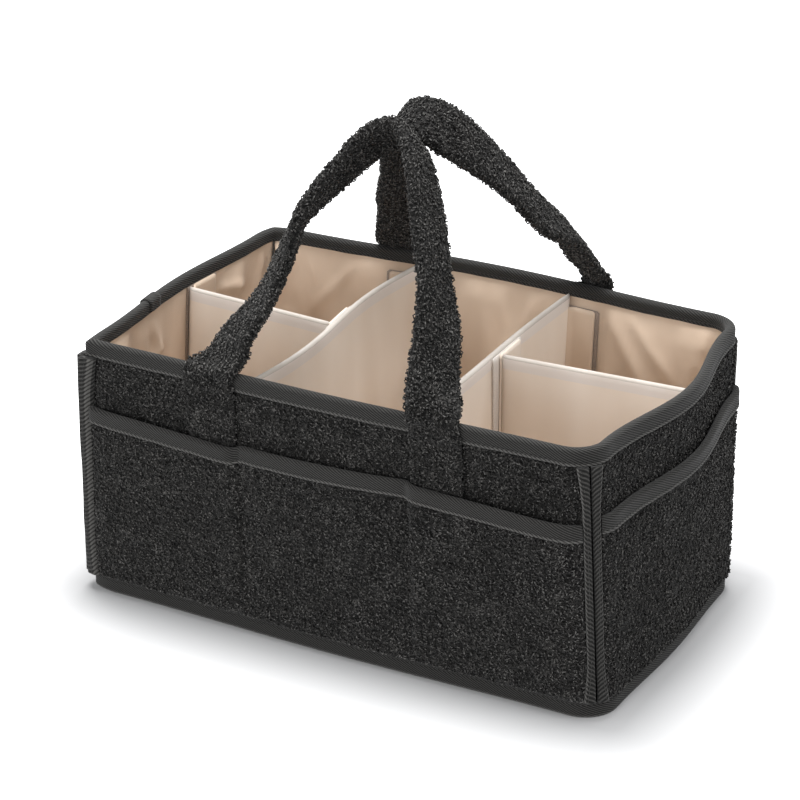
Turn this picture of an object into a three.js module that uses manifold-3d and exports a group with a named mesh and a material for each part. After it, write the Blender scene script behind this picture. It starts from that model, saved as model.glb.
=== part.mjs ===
// A plush organiser caddy: padded fabric walls on a stiff base, pockets outside, two carrying handles,
// and four loose dividers that make five compartments. Millimetres, +Z up. The front pocket faces -Y.
import * as THREE from 'three';
import Module from 'manifold-3d';

// Whole bag
const base_length = 378;
const base_width = 212;
const rim_length = 358;
const rim_wider = 21;
const rim_width = base_width + rim_wider;
const height = 187;
const corner_radius = 22;
const rim_shift = 4;
const base_bulge = 3;
const rim_bulge = { front: 3, right: 14, back: 8, left: 6 };

// How far each corner goes from a round one (0) towards a square one (1), at the base and at the rim
const corner_pull = {
  front_left: [0.35, 0.85],
  front_right: [0, 0],
  back_right: [0, 0],
  back_left: [0.3, 0.45],
};

// Layers, from the outside in, and the running clearance between neighbours
const plush = 1.8;
const board = 1.5;
const lining = 0.6;
const tape = 0.8;
const clearance = 0.3;

// Bindings
const rim_tape_outside = 11;
const rim_tape_inside = 8.5;
const rim_join_length = 14;
const rim_join_y = -37;
const base_tape_height = 12;
const fin_width = 6;
const fin_flare = 1.6;
const fin_flare_height = 14;
const fin_thickness = { front_left: 6.5, front_right: 3.1, back_right: 3.1, back_left: 3.1 };
const fin_groove = 1.6;
const fin_crest = [0.25, 0.75];

// Outside pockets. The puff is the share of its ease by which a pocket stands off its wall: on an end wall
// at shares of the way from the middle to the corner, on a long wall at its seams and its straps.
const pocket_top = 140;
const pocket_cloth = 2.6;
const pocket_ease = { front: 4.7, right: 3.5, back: 4.7, left: 3.5 };
const pocket_tape_height = 11;
const pocket_bends = [0.08, 0.3, 0.62];
const stitch_x = { front: 60.5, back: 55 };
const end_puff = [[0, 1], [0.25, 1], [0.5, 0.95], [0.75, 0.8], [1, 0.5]];
const long_puff = {
  middle: 0.7,
  before_stitch: 0.65,
  stitch: 0,
  strap: 1,
  beyond_strap: 0.75,
  corner: 0.4,
};

// Handles
const strap_width = 36;
const strap_thickness = 8.5;
const strap_skin = 1.5;
const strap_sides = 10;
const strap_inner_sides = 8;
const stitch_to_strap = 1.8;
const tail_thickness = 4;
const tail_under_pocket = 15;
const handle_rise = 139;
const front_handle_reach = 106;
const back_handle_reach = 110;

// Base
const base_cloth = 2;
const base_board_thickness = 1.5;

// Dividers
const divider_skin = 0.8;
const divider_board = 1.6;
const cross_divider_top = 180;
const short_divider_top = 178;
const cross_divider_x = 57;
const flap_length = 28;
const flap_thickness = 1.2;
const flap_top = 177;
const flap_bottom = 9;
const loop_tape = 1;
const loop_past_flap = 3;
const loop_before_divider = 18;
const board_end_gap = 3;
const cross_divider_steps = 14;
const short_divider_steps = 2;
const flap_steps = 4;

// How finely the bowed walls and the handles are faceted, and how far a cut runs past the end that it opens
const bulge_per_row = 2.5;
const closest_rows = 2;
const closest_columns = 1;
const closest_arcs = 1;
const steps_per_point = 2;
const past_end = 1;

// The dividers are soft boards: the left one across the bag bends most, the short ones stand a little askew.
const left_cross_sway = 4;
const right_cross_sway = 1;
const left_short_y = { wall: 9, cross: 1 };
const right_short_y = { wall: 15, cross: 8 };

// The path of a handle from its foot to the top of its arch. Each point gives the share of the foot's
// distance from the middle, the share of the reach across the bag and the share of the rise, then the
// turn of the strap about its own length and the tilt of its top, in degrees.
const front_handle_path = [
  { out: 1, reach: 0, rise: 0, turn: 0, tilt: 0 },
  { out: 0.98, reach: 0.02, rise: 0.055, turn: 3, tilt: 0 },
  { out: 0.875, reach: 0.18, rise: 0.14, turn: 18, tilt: 0 },
  { out: 0.75, reach: 0.37, rise: 0.31, turn: 38, tilt: 10 },
  { out: 0.64, reach: 0.5, rise: 0.51, turn: 62, tilt: 25 },
  { out: 0.53, reach: 0.61, rise: 0.68, turn: 76, tilt: 35 },
  { out: 0.36, reach: 0.78, rise: 0.84, turn: 84, tilt: 40 },
  { out: 0.18, reach: 0.93, rise: 0.96, turn: 88, tilt: 42 },
  { out: 0, reach: 1, rise: 1, turn: 90, tilt: 42 },
];
const back_handle_path = [
  { out: 1, reach: 0, rise: 0, turn: 0, tilt: 0 },
  { out: 0.975, reach: 0.012, rise: 0.053, turn: 12, tilt: 2 },
  { out: 0.885, reach: 0.115, rise: 0.143, turn: 21, tilt: 4 },
  { out: 0.82, reach: 0.237, rise: 0.323, turn: 38, tilt: 13 },
  { out: 0.717, reach: 0.458, rise: 0.472, turn: 58, tilt: 26 },
  { out: 0.56, reach: 0.656, rise: 0.669, turn: 67, tilt: 26 },
  { out: 0.383, reach: 0.831, rise: 0.836, turn: 76, tilt: 34 },
  { out: 0.205, reach: 0.964, rise: 0.957, turn: 86, tilt: 38 },
  { out: 0, reach: 1, rise: 0.993, turn: 90, tilt: 38 },
];

// Sizes that follow from the ones above
const wall_depth = plush + clearance + board + clearance + lining;
const wall_top = height - tape - clearance;
const wall_foot = base_cloth + clearance;
const base_board_top = wall_foot + base_board_thickness;
const floor_top = base_board_top + clearance + lining;
const divider_foot = floor_top + clearance;
const divider_half = divider_skin + clearance + divider_board / 2;
const strapInner = (side) => stitch_x[side] + stitch_to_strap;
const strapCentre = (side) => strapInner(side) + strap_width / 2;
const strapOuter = (side) => strapInner(side) + strap_width;
const over_rim_tape = clearance + tape + clearance;
const pocket_seat = over_rim_tape;
const pocket_foot = base_tape_height + clearance;
const tail_foot = pocket_top - tail_under_pocket;
const tail_top = height - clearance - tape;
const flap_face = wall_depth + clearance + loop_tape + clearance;
const flap_middle = flap_face + flap_thickness / 2;
const cross_flap_face = clearance + loop_tape + clearance;
const lerp = THREE.MathUtils.lerp;
const radians = THREE.MathUtils.degToRad;
const half_turn = 180;

// The angle round a corner that lies a given distance short of the corner's middle.
const corner_middle = 45;
const shortOfCorner = (distance) => corner_middle - THREE.MathUtils.radToDeg(distance / corner_radius);
const wall_end_arc = shortOfCorner((clearance / 2) * (corner_radius / (corner_radius - wall_depth)));
const pocket_end_arc = shortOfCorner(fin_groove / 2 + fin_width + fin_flare + clearance);

// A closed skin over a row of equal loops of points. `cap` lists the triangles that close an end loop,
// each in the loop's own direction. From the side numbered `flip` on, the faces are split along their
// other diagonal, so that both faces of a strip, and the layers beside it, are split alike.
function loft(loops, cap, closed = false, flip = Infinity) {
  const count = loops[0].length;
  const index = [];
  const spans = closed ? loops.length : loops.length - 1;
  for (let i = 0; i < spans; i += 1) {
    const next = (i + 1) % loops.length;
    for (let j = 0; j < count; j += 1) {
      const k = (j + 1) % count;
      const [a, b] = [i * count + j, next * count + j];
      const [c, d] = [next * count + k, i * count + k];
      index.push(...(j < flip ? [a, b, c, a, c, d] : [a, b, d, b, c, d]));
    }
  }
  if (!closed) {
    const last = (loops.length - 1) * count;
    cap.forEach(([a, b, c]) => {
      index.push(a, b, c);
      index.push(last + a, last + c, last + b);
    });
  }
  const geometry = new THREE.BufferGeometry();
  geometry.setAttribute('position', new THREE.Float32BufferAttribute(loops.flat(2), 3));
  geometry.setIndex(index);
  return facingOut(geometry);
}

// Turns a closed skin inside out when its faces point inwards.
function facingOut(geometry) {
  const position = geometry.getAttribute('position');
  const index = geometry.getIndex().array;
  const [a, b, c] = [new THREE.Vector3(), new THREE.Vector3(), new THREE.Vector3()];
  let volume = 0;
  for (let i = 0; i < index.length; i += 3) {
    a.fromBufferAttribute(position, index[i]);
    b.fromBufferAttribute(position, index[i + 1]);
    c.fromBufferAttribute(position, index[i + 2]);
    volume += a.dot(b.cross(c));
  }
  if (volume < 0) {
    for (let i = 0; i < index.length; i += 3) {
      [index[i + 1], index[i + 2]] = [index[i + 2], index[i + 1]];
    }
  }
  return geometry;
}

// End triangles of a loop that may bend back on itself, such as a folded tape's.
function sectionCap(loop) {
  const outline = loop.map(([offset, z]) => new THREE.Vector2(offset, z));
  const direction = Math.sign(THREE.ShapeUtils.area(outline));
  return THREE.ShapeUtils.triangulateShape(outline, []).map(([a, b, c]) => {
    const turn = Math.sign(THREE.ShapeUtils.area([outline[a], outline[b], outline[c]]));
    return turn === direction ? [a, b, c] : [a, c, b];
  });
}

// End triangles of a rounded loop.
const fanCap = (count) => Array.from({ length: count - 2 }, (_, i) => [0, i + 1, i + 2]);

// Lays a thick strip along a row of columns. `section` gives the strip's two faces at a column as
// lists of [offset, height], and `place` turns a column, an offset and a height into a point.
function strip(columns, section, place, closed = false) {
  const sections = columns.map((column) => {
    const [near, far] = section(column);
    return [...near, ...[...far].reverse()];
  });
  const loops = sections.map((loop, i) => loop.map(([offset, z]) => place(columns[i], offset, z)));
  const near_count = section(columns[0])[0].length;
  return loft(loops, sectionCap(sections[0]), closed, near_count);
}

const wasm = await Module();
wasm.setup();

function solid(geometry) {
  const vertProperties = new Float32Array(geometry.getAttribute('position').array);
  const triVerts = new Uint32Array(geometry.getIndex().array);
  return new wasm.Manifold(new wasm.Mesh({ numProp: 3, vertProperties, triVerts }));
}

function geometryOf(manifold) {
  const mesh = manifold.getMesh();
  const geometry = new THREE.BufferGeometry();
  geometry.setAttribute('position', new THREE.Float32BufferAttribute(mesh.vertProperties, 3));
  geometry.setIndex(Array.from(mesh.triVerts));
  return geometry;
}

const joined = (...parts) => geometryOf(parts.map(solid).reduce((all, part) => all.add(part)));
const hollowed = (outer, inner) => geometryOf(solid(outer).subtract(solid(inner)));

// The walls. A column is a place along one wall: `x` or `y` fixes it in the bag, `toward_end` moves it
// that share of the way to the end of the straight stretch, and `arc` goes on round the corner.
const walls = ['front', 'right', 'back', 'left'];
const isLong = (side) => side === 'front' || side === 'back';
const lean = (z) => (rim_shift * z) / height;

// The corners at the start and at the end of each wall.
const corners = {
  front: ['front_left', 'front_right'],
  right: ['front_right', 'back_right'],
  back: ['back_right', 'back_left'],
  left: ['back_left', 'front_left'],
};
const cornerAt = (side, sign) => corners[side][sign < 0 ? 0 : 1];

function onWall(side, column, offset, z) {
  const level = z / height;
  const across = isLong(side) ? [base_width, rim_width] : [base_length, rim_length];
  const along = isLong(side) ? [base_length, rim_length] : [base_width, rim_width];
  const depth = lerp(across[0], across[1], level) / 2;
  const straight = lerp(along[0], along[1], level) / 2 - corner_radius;
  const sign = column.sign ?? 1;
  const fixed = {
    front: (column.x ?? 0) - lean(z),
    back: lean(z) - (column.x ?? 0),
    right: column.y ?? 0,
    left: -(column.y ?? 0),
  }[side];
  let t = lerp(fixed, sign * straight, column.toward_end ?? 0);
  const bulge = lerp(base_bulge, rim_bulge[side], level);
  let d = depth + offset + bulge * Math.cos((Math.PI / 2) * (t / straight)) ** 2;
  if (column.arc) {
    const angle = radians(column.arc);
    const pull = lerp(...corner_pull[cornerAt(side, sign)], level);
    const radius = corner_radius + offset;
    t = sign * (straight + radius * lerp(Math.sin(angle), column.arc / corner_middle, pull));
    d = depth - corner_radius + radius * lerp(Math.cos(angle), 1, pull);
  }
  if (side === 'front') return [lean(z) + t, -d, z];
  if (side === 'right') return [lean(z) + d, t, z];
  if (side === 'back') return [lean(z) - t, d, z];
  return [lean(z) - d, -t, z];
}

// Half of a wall's columns, from its middle outwards, with how far the pocket stands off at each.
function halfColumns(side, last_arc) {
  const bend = [{ arc: corner_middle / 2, puff: 0 }].filter(({ arc }) => arc < last_arc - closest_arcs);
  const end = { arc: last_arc, puff: 0 };
  if (!isLong(side)) {
    const straight = end_puff.map(([toward_end, puff]) => ({ toward_end, puff }));
    return [...straight, ...bend, end];
  }
  return [
    { x: 0, puff: long_puff.middle },
    { x: stitch_x[side] / 2, puff: long_puff.before_stitch },
    { x: stitch_x[side], puff: long_puff.stitch },
    { x: strapInner(side) - clearance, puff: long_puff.strap },
    { x: strapCentre(side), puff: long_puff.strap },
    { x: strapOuter(side) + clearance, puff: long_puff.strap },
    { x: strapOuter(side) + clearance, toward_end: 0.5, puff: long_puff.beyond_strap },
    { toward_end: 1, puff: long_puff.corner },
    ...bend,
    end,
  ];
}

// On the back wall the columns run the other way in x, so that each list goes round the bag one way.
function columnsOf(side, last_arc = wall_end_arc) {
  const flip = side === 'back' ? -1 : 1;
  const half = halfColumns(side, last_arc);
  const place = (column, sign) => ({ ...column, x: sign * flip * (column.x ?? 0), sign });
  const before = half.slice(1).reverse().map((column) => place(column, -1));
  return [...before, ...half.map((column) => place(column, 1))];
}

// Heights between two ends of a piece. A wall that bulges more at the rim needs more of them.
function rows(side, from, to, extra = []) {
  const count = Math.max(1, Math.ceil(Math.abs(rim_bulge[side] - base_bulge) / bulge_per_row));
  const regular = Array.from({ length: count - 1 }, (_, i) => ((i + 1) * height) / count);
  const between = (z) => z > from + closest_rows && z < to - closest_rows;
  const inside = [...regular, ...extra].filter(between).sort((a, b) => a - b);
  return [from, ...inside.filter((z, i) => i === 0 || z - inside[i - 1] > closest_rows), to];
}

// A layer of a wall between two offsets from the bag's outer face and two heights.
function wallLayer(side, outer, inner, from, to) {
  const levels = rows(side, from, to);
  const section = () => [levels.map((z) => [outer, z]), levels.map((z) => [inner, z])];
  return strip(columnsOf(side), section, (column, offset, z) => onWall(side, column, offset, z));
}

// A band that runs all the way round the bag.
function ring(section) {
  const columns = walls.flatMap((side) => {
    const all = columnsOf(side, corner_middle).map((column) => ({ ...column, side }));
    return all.slice(0, -1);
  });
  return strip(columns, section, (column, offset, z) => onWall(column.side, column, offset, z), true);
}

// A flat sheet with the outline of the bag at one height, drawn in by an inset.
function floorSheet(inset, from, to) {
  const outline = walls.flatMap((side) => {
    const columns = columnsOf(side, corner_middle).slice(0, -1);
    return columns.map((column) => onWall(side, column, -inset, from));
  });
  const shape = new THREE.Shape(outline.map(([x, y]) => new THREE.Vector2(x, y)));
  const geometry = new THREE.ExtrudeGeometry(shape, { depth: to - from, bevelEnabled: false });
  return geometry.translate(0, 0, from);
}

// Tape folded over a top edge: the outside leg, the fold and the inside leg, as one bent strip.
// `outerAt` and `innerAt` give the two faces of the edge inside the fold at a height.
function foldedTape(outerAt, innerAt, top, outside_height, inside_height) {
  const [outside_foot, inside_foot] = [top - outside_height, top - inside_height];
  const [outer, inner] = [outerAt(top), innerAt(top)];
  return [
    [
      [outerAt(outside_foot) + tape, outside_foot],
      [outer + tape, top - tape / 2],
      [outer, top],
      [inner, top],
      [inner - tape, top - tape / 2],
      [innerAt(inside_foot) - tape, inside_foot],
    ],
    [
      [outerAt(outside_foot), outside_foot],
      [outer, top - tape],
      [inner, top - tape],
      [innerAt(inside_foot), inside_foot],
    ],
  ];
}

function rimBinding() {
  const outerAt = () => clearance;
  const innerAt = () => -wall_depth - clearance;
  return ring(() => foldedTape(outerAt, innerAt, height, rim_tape_outside, rim_tape_inside));
}

// The lapped end of the rim tape, sewn over the start on the left wall.
function rimJoin() {
  const outer = over_rim_tape;
  const from = height - rim_tape_outside;
  const columns = [-1, 0, 1].map((step) => ({ y: rim_join_y + (step * rim_join_length) / 2 }));
  const section = () => [
    [[outer + tape, from], [outer + tape, height - tape]],
    [[outer, from], [outer, height - tape]],
  ];
  return strip(columns, section, (column, offset, z) => onWall('left', column, offset, z));
}

function baseBinding() {
  return ring(() => [
    [[clearance + tape, clearance + tape], [clearance + tape, base_tape_height]],
    [[clearance, clearance], [clearance, base_tape_height]],
  ]);
}

// A bound seam that stands up beside a corner and flares at both ends, where it runs into the tapes.
function cornerFin(side, sign) {
  const foot = base_tape_height + clearance;
  const top = height - rim_tape_outside - clearance;
  const levels = rows(side, foot, top, [foot + fin_flare_height, top - fin_flare_height]);
  const flareAt = (z) => {
    const from_end = Math.min(z - foot, top - z);
    return fin_flare * Math.max(0, 1 - from_end / fin_flare_height);
  };
  const thickness = fin_thickness[cornerAt(side, sign)];
  const crest = thickness + clearance;
  const section = () => [levels.map((z) => [crest, z]), levels.map((z) => [clearance, z])];
  const place = (share, offset, z) => {
    const spread = fin_groove / 2 + share * (fin_width + flareAt(z));
    const rounded = offset === crest && (share === 0 || share === 1) ? thickness / 2 : 0;
    return onWall(side, { arc: shortOfCorner(spread), sign }, offset - rounded, z);
  };
  return strip([0, ...fin_crest, 1], section, place);
}

// An outside pocket stands off its wall between its seams and lies close at its foot.
const pocketFill = (z) => {
  const share = (z - pocket_foot) / (pocket_top - pocket_foot);
  return Math.sqrt(THREE.MathUtils.clamp(share, 0, 1));
};
const pocketFace = (side, column, z) => pocket_seat + pocket_ease[side] * column.puff * pocketFill(z);

function pocket(side) {
  const top = pocket_top - tape - clearance;
  const bends = pocket_bends.map((share) => lerp(pocket_foot, top, share));
  const levels = [pocket_foot, ...bends, pocket_top - pocket_tape_height, top];
  const section = (column) => [
    levels.map((z) => [pocketFace(side, column, z) + pocket_cloth, z]),
    levels.map((z) => [pocketFace(side, column, z), z]),
  ];
  const place = (column, offset, z) => onWall(side, column, offset, z);
  return strip(columnsOf(side, pocket_end_arc), section, place);
}

function pocketBinding(side) {
  const section = (column) => {
    const outerAt = (z) => pocketFace(side, column, z) + pocket_cloth + clearance;
    const innerAt = (z) => pocketFace(side, column, z) - clearance;
    return foldedTape(outerAt, innerAt, pocket_top, pocket_tape_height, pocket_tape_height);
  };
  const place = (column, offset, z) => onWall(side, column, offset, z);
  return strip(columnsOf(side, pocket_end_arc), section, place);
}

// The end of a handle, sewn flat over the rim tape and the wall, and tucked behind the pocket.
function handleTail(side, sign) {
  const step = height - rim_tape_outside - clearance;
  const columns = [strapInner, strapCentre, strapOuter].map((at) => ({ x: sign * at(side) }));
  const section = () => [
    [
      [clearance + tail_thickness, tail_foot],
      [clearance + tail_thickness, step - over_rim_tape],
      [over_rim_tape + tail_thickness, step],
      [over_rim_tape + tail_thickness, tail_top],
    ],
    [
      [clearance, tail_foot],
      [clearance, step - over_rim_tape],
      [over_rim_tape, step],
      [over_rim_tape, tail_top],
    ],
  ];
  return strip(columns, section, (column, offset, z) => onWall(side, column, offset, z));
}

// A handle: the strap's middle line, and at each step the directions across it and out of its face.
function handleFrames(side, path, reach) {
  const inward = side === 'front' ? 1 : -1;
  const rim_y = onWall(side, { x: strapInner(side) }, over_rim_tape + tail_thickness / 2, height)[1];
  const foot_z = tail_top + clearance;
  const half = path.map((point) => ({
    place: new THREE.Vector3(
      -strapCentre(side) * point.out,
      rim_y + inward * reach * point.reach,
      foot_z + handle_rise * point.rise,
    ),
    pose: new THREE.Vector3(point.turn, point.tilt, point.rise === 0 ? tail_thickness : strap_thickness),
  }));
  const other = half.slice(0, -1).reverse().map(({ place, pose }) => ({
    place: new THREE.Vector3(-place.x, place.y, place.z),
    pose: new THREE.Vector3(half_turn - pose.x, pose.y, pose.z),
  }));
  const points = [...half, ...other];
  const line = new THREE.CatmullRomCurve3(points.map(({ place }) => place), false, 'centripetal');
  const pose = new THREE.CatmullRomCurve3(points.map((point) => point.pose), false, 'centripetal');
  const steps = steps_per_point * (points.length - 1);
  return Array.from({ length: steps + 1 }, (_, i) => {
    const t = i / steps;
    const { x: turn, y: tilt, z: thickness } = pose.getPoint(t);
    const at_foot = i === 0 || i === steps;
    const along = at_foot ? new THREE.Vector3(0, 0, i === 0 ? 1 : -1) : line.getTangent(t);
    const sine = Math.sin(radians(turn));
    const across = new THREE.Vector3(
      Math.cos(radians(turn)),
      -inward * sine * Math.cos(radians(tilt)),
      sine * Math.sin(radians(tilt)),
    );
    across.addScaledVector(along, -across.dot(along)).normalize();
    const out = new THREE.Vector3().crossVectors(along, across);
    return { centre: line.getPoint(t), across, out, thickness };
  });
}

// A rounded oblong loop round a frame. `trim` makes it smaller all round.
function strapLoop(frame, trim, count) {
  return Array.from({ length: count }, (_, i) => {
    const angle = ((i + 0.5) * 2 * Math.PI) / count;
    const flatten = (value) => Math.sign(value) * Math.sqrt(Math.abs(value));
    const wide = (strap_width / 2 - trim) * flatten(Math.cos(angle));
    const thick = (frame.thickness / 2 - trim) * flatten(Math.sin(angle));
    const point = frame.centre.clone();
    return point.addScaledVector(frame.across, wide).addScaledVector(frame.out, thick).toArray();
  });
}

function strapSolid(frames, trim, count) {
  return loft(frames.map((frame) => strapLoop(frame, trim, count)), fanCap(count));
}

// The cover is a tube of cloth, open at both feet. The padding inside it ends a little short of them.
function handleCover(frames) {
  const below = (frame) => ({ ...frame, centre: frame.centre.clone().setZ(frame.centre.z - past_end) });
  const through = [below(frames[0]), ...frames, below(frames.at(-1))];
  return hollowed(strapSolid(frames, 0, strap_sides), strapSolid(through, strap_skin, strap_inner_sides));
}

const handleCore = (frames) => strapSolid(frames.slice(1, -1), strap_skin + clearance, strap_inner_sides);

// A point against a wall's facets, at a given distance along it.
function againstWall(side, along, offset, z) {
  const axis = isLong(side) ? 0 : 1;
  const points = columnsOf(side).map((column) => onWall(side, column, offset, z));
  points.sort((a, b) => a[axis] - b[axis]);
  const next = points.findIndex((point) => point[axis] > along);
  const share = (along - points[next - 1][axis]) / (points[next][axis] - points[next - 1][axis]);
  return points[next].map((value, i) => lerp(points[next - 1][i], value, share));
}

// An upright sheet against a wall, between two places along it. It bends only where the wall bends.
function wallSheet(side, from, to, near, thickness) {
  const axis = isLong(side) ? 0 : 1;
  const [low, high] = [Math.min(from, to), Math.max(from, to)];
  const along = (column, z) => column.along ?? onWall(side, column, -near, z)[axis];
  const between = (value) => value > low + closest_columns && value < high - closest_columns;
  const inside = columnsOf(side).filter((column) => [0, height].every((z) => between(along(column, z))));
  inside.sort((a, b) => along(a, 0) - along(b, 0));
  const levels = rows(side, flap_bottom, flap_top);
  const section = () => [levels.map((z) => [-near, z]), levels.map((z) => [-near - thickness, z])];
  const place = (column, offset, z) => ('along' in column
    ? againstWall(side, column.along, offset, z)
    : onWall(side, column, offset, z));
  return strip([{ along: low }, ...inside, { along: high }], section, place);
}

// A divider across the bag stands at x, bent in a slow wave, from the front wall to the back wall.
const crossX = (divider, y) => divider.x - divider.sway * Math.sin((2 * Math.PI * y) / base_width);

function onCross(divider, share, offset, z) {
  const ends = ['front', 'back'].map((side) => againstWall(side, divider.x, -flap_middle, z)[1]);
  const y = lerp(ends[0], ends[1], share);
  return [crossX(divider, y) + offset, y, z];
}

// A short divider runs from an end wall to the divider across the bag beside it.
function onShort(divider, share, offset, z) {
  const wall_x = againstWall(divider.side, divider.y.wall, -flap_middle, z)[0];
  const stand_off = divider_half + cross_flap_face + flap_thickness + clearance;
  const cross_x = crossX(divider.cross, divider.y.cross) + divider.outward * stand_off;
  return [lerp(wall_x, cross_x, share), lerp(divider.y.wall, divider.y.cross, share) + offset, z];
}

const shares = (from, to, steps) => Array.from({ length: steps + 1 }, (_, i) => lerp(from, to, i / steps));

// A cloth sleeve over a board, closed along its top edge and open below.
function sleeve(place, top, steps) {
  const outer = divider_half;
  const inner = divider_half - divider_skin;
  const section = () => [
    [[outer, divider_foot], [outer, top], [-outer, top], [-outer, divider_foot]],
    [[inner, divider_foot], [inner, top - divider_skin], [-inner, top - divider_skin], [-inner, divider_foot]],
  ];
  return strip(shares(0, 1, steps), section, place);
}

function dividerBoard(place, top, length, steps) {
  const half = divider_board / 2;
  const end = board_end_gap / length;
  const high = top - divider_skin - clearance;
  const section = () => [
    [[half, divider_foot], [half, high]],
    [[-half, divider_foot], [-half, high]],
  ];
  return strip(shares(end, 1 - end, steps), section, place);
}

// A thin upright sheet against the outward face of a divider across the bag.
function dividerSheet(divider, from, to, near, thickness) {
  const inner = divider_half + near;
  const section = () => [
    [[inner, flap_bottom], [inner, flap_top]],
    [[inner + thickness, flap_bottom], [inner + thickness, flap_top]],
  ];
  const place = (y, offset, z) => [crossX(divider, y) + divider.outward * offset, y, z];
  return strip(shares(from, to, flap_steps), section, place);
}

// The end flap of a divider, and the loop tape that it grips.
const wallFlap = (side, at, direction) => wallSheet(
  side, at, at + direction * flap_length, flap_face, flap_thickness,
);
const wallLoop = (side, at, direction) => wallSheet(
  side, at - direction * divider_half, at + direction * (flap_length + loop_past_flap),
  wall_depth + clearance, loop_tape,
);
const crossFlap = (divider, at) => dividerSheet(
  divider, at - divider_half, at + flap_length, cross_flap_face, flap_thickness,
);
const crossLoop = (divider, at) => dividerSheet(
  divider, at - loop_before_divider, at + flap_length + loop_past_flap, clearance, loop_tape,
);

const left_cross = { x: -cross_divider_x, sway: left_cross_sway, outward: -1 };
const right_cross = { x: cross_divider_x, sway: right_cross_sway, outward: 1 };
const left_short = { side: 'left', cross: left_cross, outward: -1, y: left_short_y, flap: 1 };
const right_short = { side: 'right', cross: right_cross, outward: 1, y: right_short_y, flap: -1 };

// Finishes
const finish = (color, roughness) => new THREE.MeshStandardMaterial({ color, roughness, metalness: 0 });
const plush_finish = finish(0x2b2927, 1);
const tape_finish = finish(0x32312e, 0.85);
const lining_finish = finish(0xd9c3ad, 0.5);
const divider_finish = finish(0xe6dacd, 0.5);
const board_finish = finish(0xb9a27e, 0.9);
const core_finish = finish(0xd8d8d4, 0.9);
const loop_finish = finish(0xd6d0c8, 0.95);

const bag = new THREE.Group();

function add(name, geometry, material) {
  const mesh = new THREE.Mesh(geometry, material);
  mesh.name = name;
  bag.add(mesh);
}

// Walls and base
walls.forEach((side) => {
  add(`${side}_panel`, wallLayer(side, 0, -plush, wall_foot, wall_top), plush_finish);
  const board_face = plush + clearance;
  add(`${side}_board`, wallLayer(side, -board_face, -board_face - board, wall_foot, wall_top), board_finish);
  const lining_face = wall_depth - lining;
  add(`${side}_lining`, wallLayer(side, -lining_face, -wall_depth, wall_foot, wall_top), lining_finish);
});
add('base_panel', floorSheet(0, 0, base_cloth), tape_finish);
add('base_board', floorSheet(wall_depth + clearance, wall_foot, base_board_top), board_finish);
const lining_inset = wall_depth + clearance;
add('floor_lining', floorSheet(lining_inset, base_board_top + clearance, floor_top), lining_finish);

// Bindings
add('rim_binding', rimBinding(), tape_finish);
add('rim_binding_join', rimJoin(), tape_finish);
add('base_binding', baseBinding(), tape_finish);
walls.forEach((side) => {
  add(`${side}_wall_start_fin`, cornerFin(side, -1), tape_finish);
  add(`${side}_wall_end_fin`, cornerFin(side, 1), tape_finish);
});

// Pockets
walls.forEach((side) => {
  add(`${side}_pocket`, pocket(side), plush_finish);
  add(`${side}_pocket_binding`, pocketBinding(side), tape_finish);
});

// Handles
const handles = {
  front: [front_handle_path, front_handle_reach],
  back: [back_handle_path, back_handle_reach],
};
Object.entries(handles).forEach(([side, [path, reach]]) => {
  add(`${side}_left_handle_tail`, handleTail(side, -1), plush_finish);
  add(`${side}_right_handle_tail`, handleTail(side, 1), plush_finish);
  const frames = handleFrames(side, path, reach);
  add(`${side}_handle`, handleCover(frames), plush_finish);
  add(`${side}_handle_core`, handleCore(frames), core_finish);
});

// Dividers across the bag
Object.entries({ left: left_cross, right: right_cross }).forEach(([name, divider]) => {
  const place = (share, offset, z) => onCross(divider, share, offset, z);
  const cover = sleeve(place, cross_divider_top, cross_divider_steps);
  const flaps = ['front', 'back'].map((side) => wallFlap(side, divider.x, divider.outward));
  add(`${name}_cross_divider`, joined(cover, ...flaps), divider_finish);
  const stiffener = dividerBoard(place, cross_divider_top, base_width, cross_divider_steps);
  add(`${name}_cross_divider_board`, stiffener, board_finish);
  ['front', 'back'].forEach((side) => {
    add(`${side}_${name}_loop_tape`, wallLoop(side, divider.x, divider.outward), loop_finish);
  });
});

// Short dividers
Object.entries({ left: left_short, right: right_short }).forEach(([name, divider]) => {
  const place = (share, offset, z) => onShort(divider, share, offset, z);
  const cover = sleeve(place, short_divider_top, short_divider_steps);
  const wall_end = wallFlap(divider.side, divider.y.wall, divider.flap);
  add(`${name}_short_divider`, joined(cover, wall_end), divider_finish);
  add(`${name}_short_divider_tab`, crossFlap(divider.cross, divider.y.cross), divider_finish);
  const length = base_length / 2 - cross_divider_x;
  const stiffener = dividerBoard(place, short_divider_top, length, short_divider_steps);
  add(`${name}_short_divider_board`, stiffener, board_finish);
  add(`${name}_wall_loop_tape`, wallLoop(divider.side, divider.y.wall, divider.flap), loop_finish);
  add(`${name}_divider_loop_tape`, crossLoop(divider.cross, divider.y.cross), loop_finish);
});

// The origin is the middle of the whole bag's footprint, on the surface that it stands on.
const model = new THREE.Group();
const box = new THREE.Box3().setFromObject(bag);
const middle = box.getCenter(new THREE.Vector3());
bag.position.set(-middle.x, -middle.y, -box.min.z);
model.add(bag);
console.log('middle of the bag before it is centred:', middle.x.toFixed(3), middle.y.toFixed(3));

export default model;
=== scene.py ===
# %% [markdown]
# # A plush organiser bag
# The bag is made of soft layers round stiff boards: looped plush outside, woven lining inside, and
# twill tape over every raw edge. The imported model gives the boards, the joints and the size, so this
# script only dresses it. Each cloth piece is a fine grid that is laid onto the wall it covers and is
# then given its thickness, its folds and its pile.

import math
from functools import partial

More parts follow.
